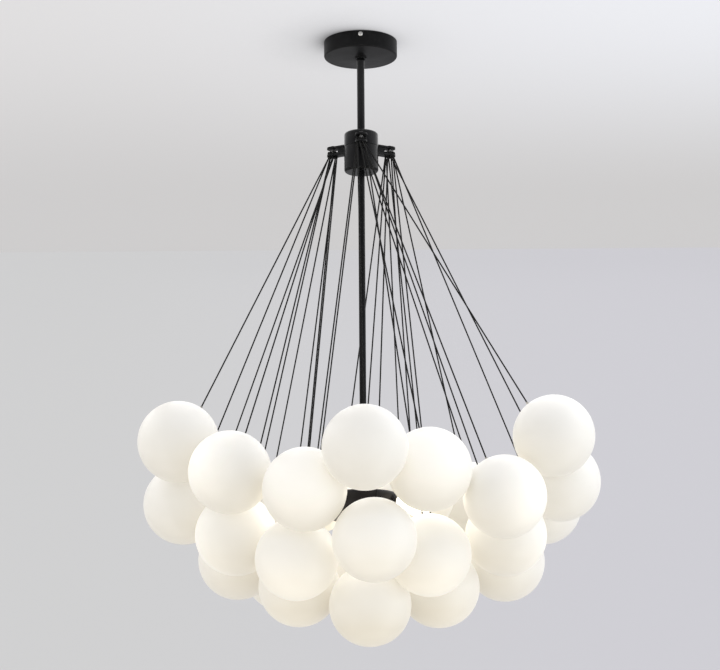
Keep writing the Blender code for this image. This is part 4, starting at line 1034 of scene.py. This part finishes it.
FERRULES = ferrule_tree(FERRULE_METAL)
FERRULE_SIZES = {"Flange Radius": 0.0026, "Tube Radius": 0.0016, "Height": FERRULE_HEIGHT}
for body in sorted(set(GLOBE_BODY.values())):
    names = [n for n in GLOBES if GLOBE_BODY[n] == body]
    data = bpy.data.meshes.new("ferrule_points")
    data.from_pydata([GLOBES[n][0] + GLOBES[n][1] * GLOBE_RADIUS for n in names], [], [])
    axis = data.attributes.new("axis", "FLOAT_VECTOR", "POINT")
    for k, name in enumerate(names):
        axis.data[k].vector = GLOBES[name][1]
    ferrules = grown(f"ferrules_{body}", linked("ferrule_points", data), FERRULES, FERRULE_SIZES)
    ferrules.data.set_sharp_from_angle(angle=SHARP_ANGLE)
    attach(ferrules, body)


# Globes: hollow balls blown from white glass and acid-frosted outside, each with one small hole at its top.
# The bulbs' light is painted in as a glow, strongest on the side next to a bulb and on the side opposite it.
# A painted shade darkens and warms the lower sides of the globes near the middle of the cluster.
def frosted_glass():
    material, wire = new_look("frosted_white_glass")
    place = wire.place()
    # Painted light: the bulbs' glow through the glass, kept for each point, is painted in as emission.
    glow = wire.stored("glow")
    # Painted shade: the lower sides of the globes near the middle of the cluster turn darker and warmer.
    deep = wire.stored("deep")
    cloud = wire.noise(place, 22.0, 3.0).between(0.25, 0.75)
    frost = wire.noise(place, 2600.0, 2.0)
    white = wire.blend(cloud, (0.795, 0.785, 0.76), (0.775, 0.765, 0.735))
    color = wire.blend(deep, white, (0.63, 0.585, 0.49))
    warm = wire.blend(glow.between(0.1, 0.6), (1.0, 0.95, 0.83), (1.0, 0.97, 0.90))
    emitted = wire.node("ShaderNodeVectorMath", {"operation": "SCALE"}, {0: warm, "Scale": glow})
    values = {
        "Base Color": color, "Roughness": 0.32 + frost * 0.12, "Normal": wire.bump(frost, 0.000012),
        "Emission Color": emitted, "Emission Strength": 1.0, "Sheen Weight": 0.07, "Sheen Roughness": 0.35,
    }
    return finished(material, wire, values)


FROSTED_GLASS = frosted_glass()
GLASS_WALL = 0.0025
MOUTH_RADIUS = 0.0014
GLOBE_SIDES = 72
GLOBE_RINGS = 36
# Strengths of the painted glow from the bulbs.
NEST_GLOW = 0.12
NEAR_GLOW = 0.26
FAR_GLOW = 0.44
MOST_GLOW = 0.55
BULB_WAYS = [np.array([cos(radians(b)), sin(radians(b)), 0]) for b in BULB_BEARINGS]


def bulb_light(points, middle):
    """How much of the bulbs' light shows at each point of a globe. A bulb shines outward, past its holder.
    The sum levels off below MOST_GLOW."""
    middle = np.array(middle)
    total = np.full(len(points), NEST_GLOW)
    for outward in BULB_WAYS:
        bulb = outward * BULB_REACH + (0, 0, LAMP_MIDDLE)
        far = np.linalg.norm(points - bulb, axis=1)
        total += NEAR_GLOW / (1 + (far / 0.085) ** 3)
        line = middle - bulb
        reach = np.linalg.norm(line)
        facing = ((points - middle) @ line) / (reach * GLOBE_RADIUS)
        ahead = 0.5 + 0.5 * (line @ outward) / reach
        total += FAR_GLOW * ahead * np.clip(facing, 0, 1) ** 2 / (1 + (reach / 0.165) ** 6)
    return total / np.sqrt(1 + (total / MOST_GLOW) ** 2)


def keep(data, name, numbers):
    """Stores one number for each point of a mesh, for its material to read."""
    data.attributes.new(name, "FLOAT", "POINT").data.foreach_set("value", numbers)


shell_outline = []
for radius, rings, way in ((GLOBE_RADIUS, GLOBE_RINGS, 1), (GLOBE_RADIUS - GLASS_WALL, GLOBE_RINGS // 2, -1)):
    start = asin(MOUTH_RADIUS / radius)
    turns = [start + (pi - start) * n / rings for n in range(rings)]
    arc = [(radius * sin(turn), radius * cos(turn)) for turn in turns]
    shell_outline += (arc + [(0, -radius)])[::way]
for name, (middle, pole) in GLOBES.items():
    placed = Matrix.Translation(middle) @ pole.to_track_quat("Z", "Y").to_matrix().to_4x4()
    shape = turned(shell_outline, GLOBE_SIDES, placed)
    globe = object_of(name.replace("globe", "glass_globe"), shape, FROSTED_GLASS)
    rows = np.array([v.co for v in globe.data.vertices])
    # Painted shade for each point: strongest low on the globes near the middle of the cluster.
    inner = np.clip(1.3 - np.linalg.norm(rows[:, :2], axis=1) / 0.35, 0.2, 1)
    under = np.clip((middle.z + 0.022 - rows[:, 2]) / GLOBE_RADIUS, 0, 1)
    keep(globe.data, "glow", bulb_light(rows, middle))
    keep(globe.data, "deep", inner * under)
    riding(globe, GLOBE_BODY[name], "frosted_glass", name)
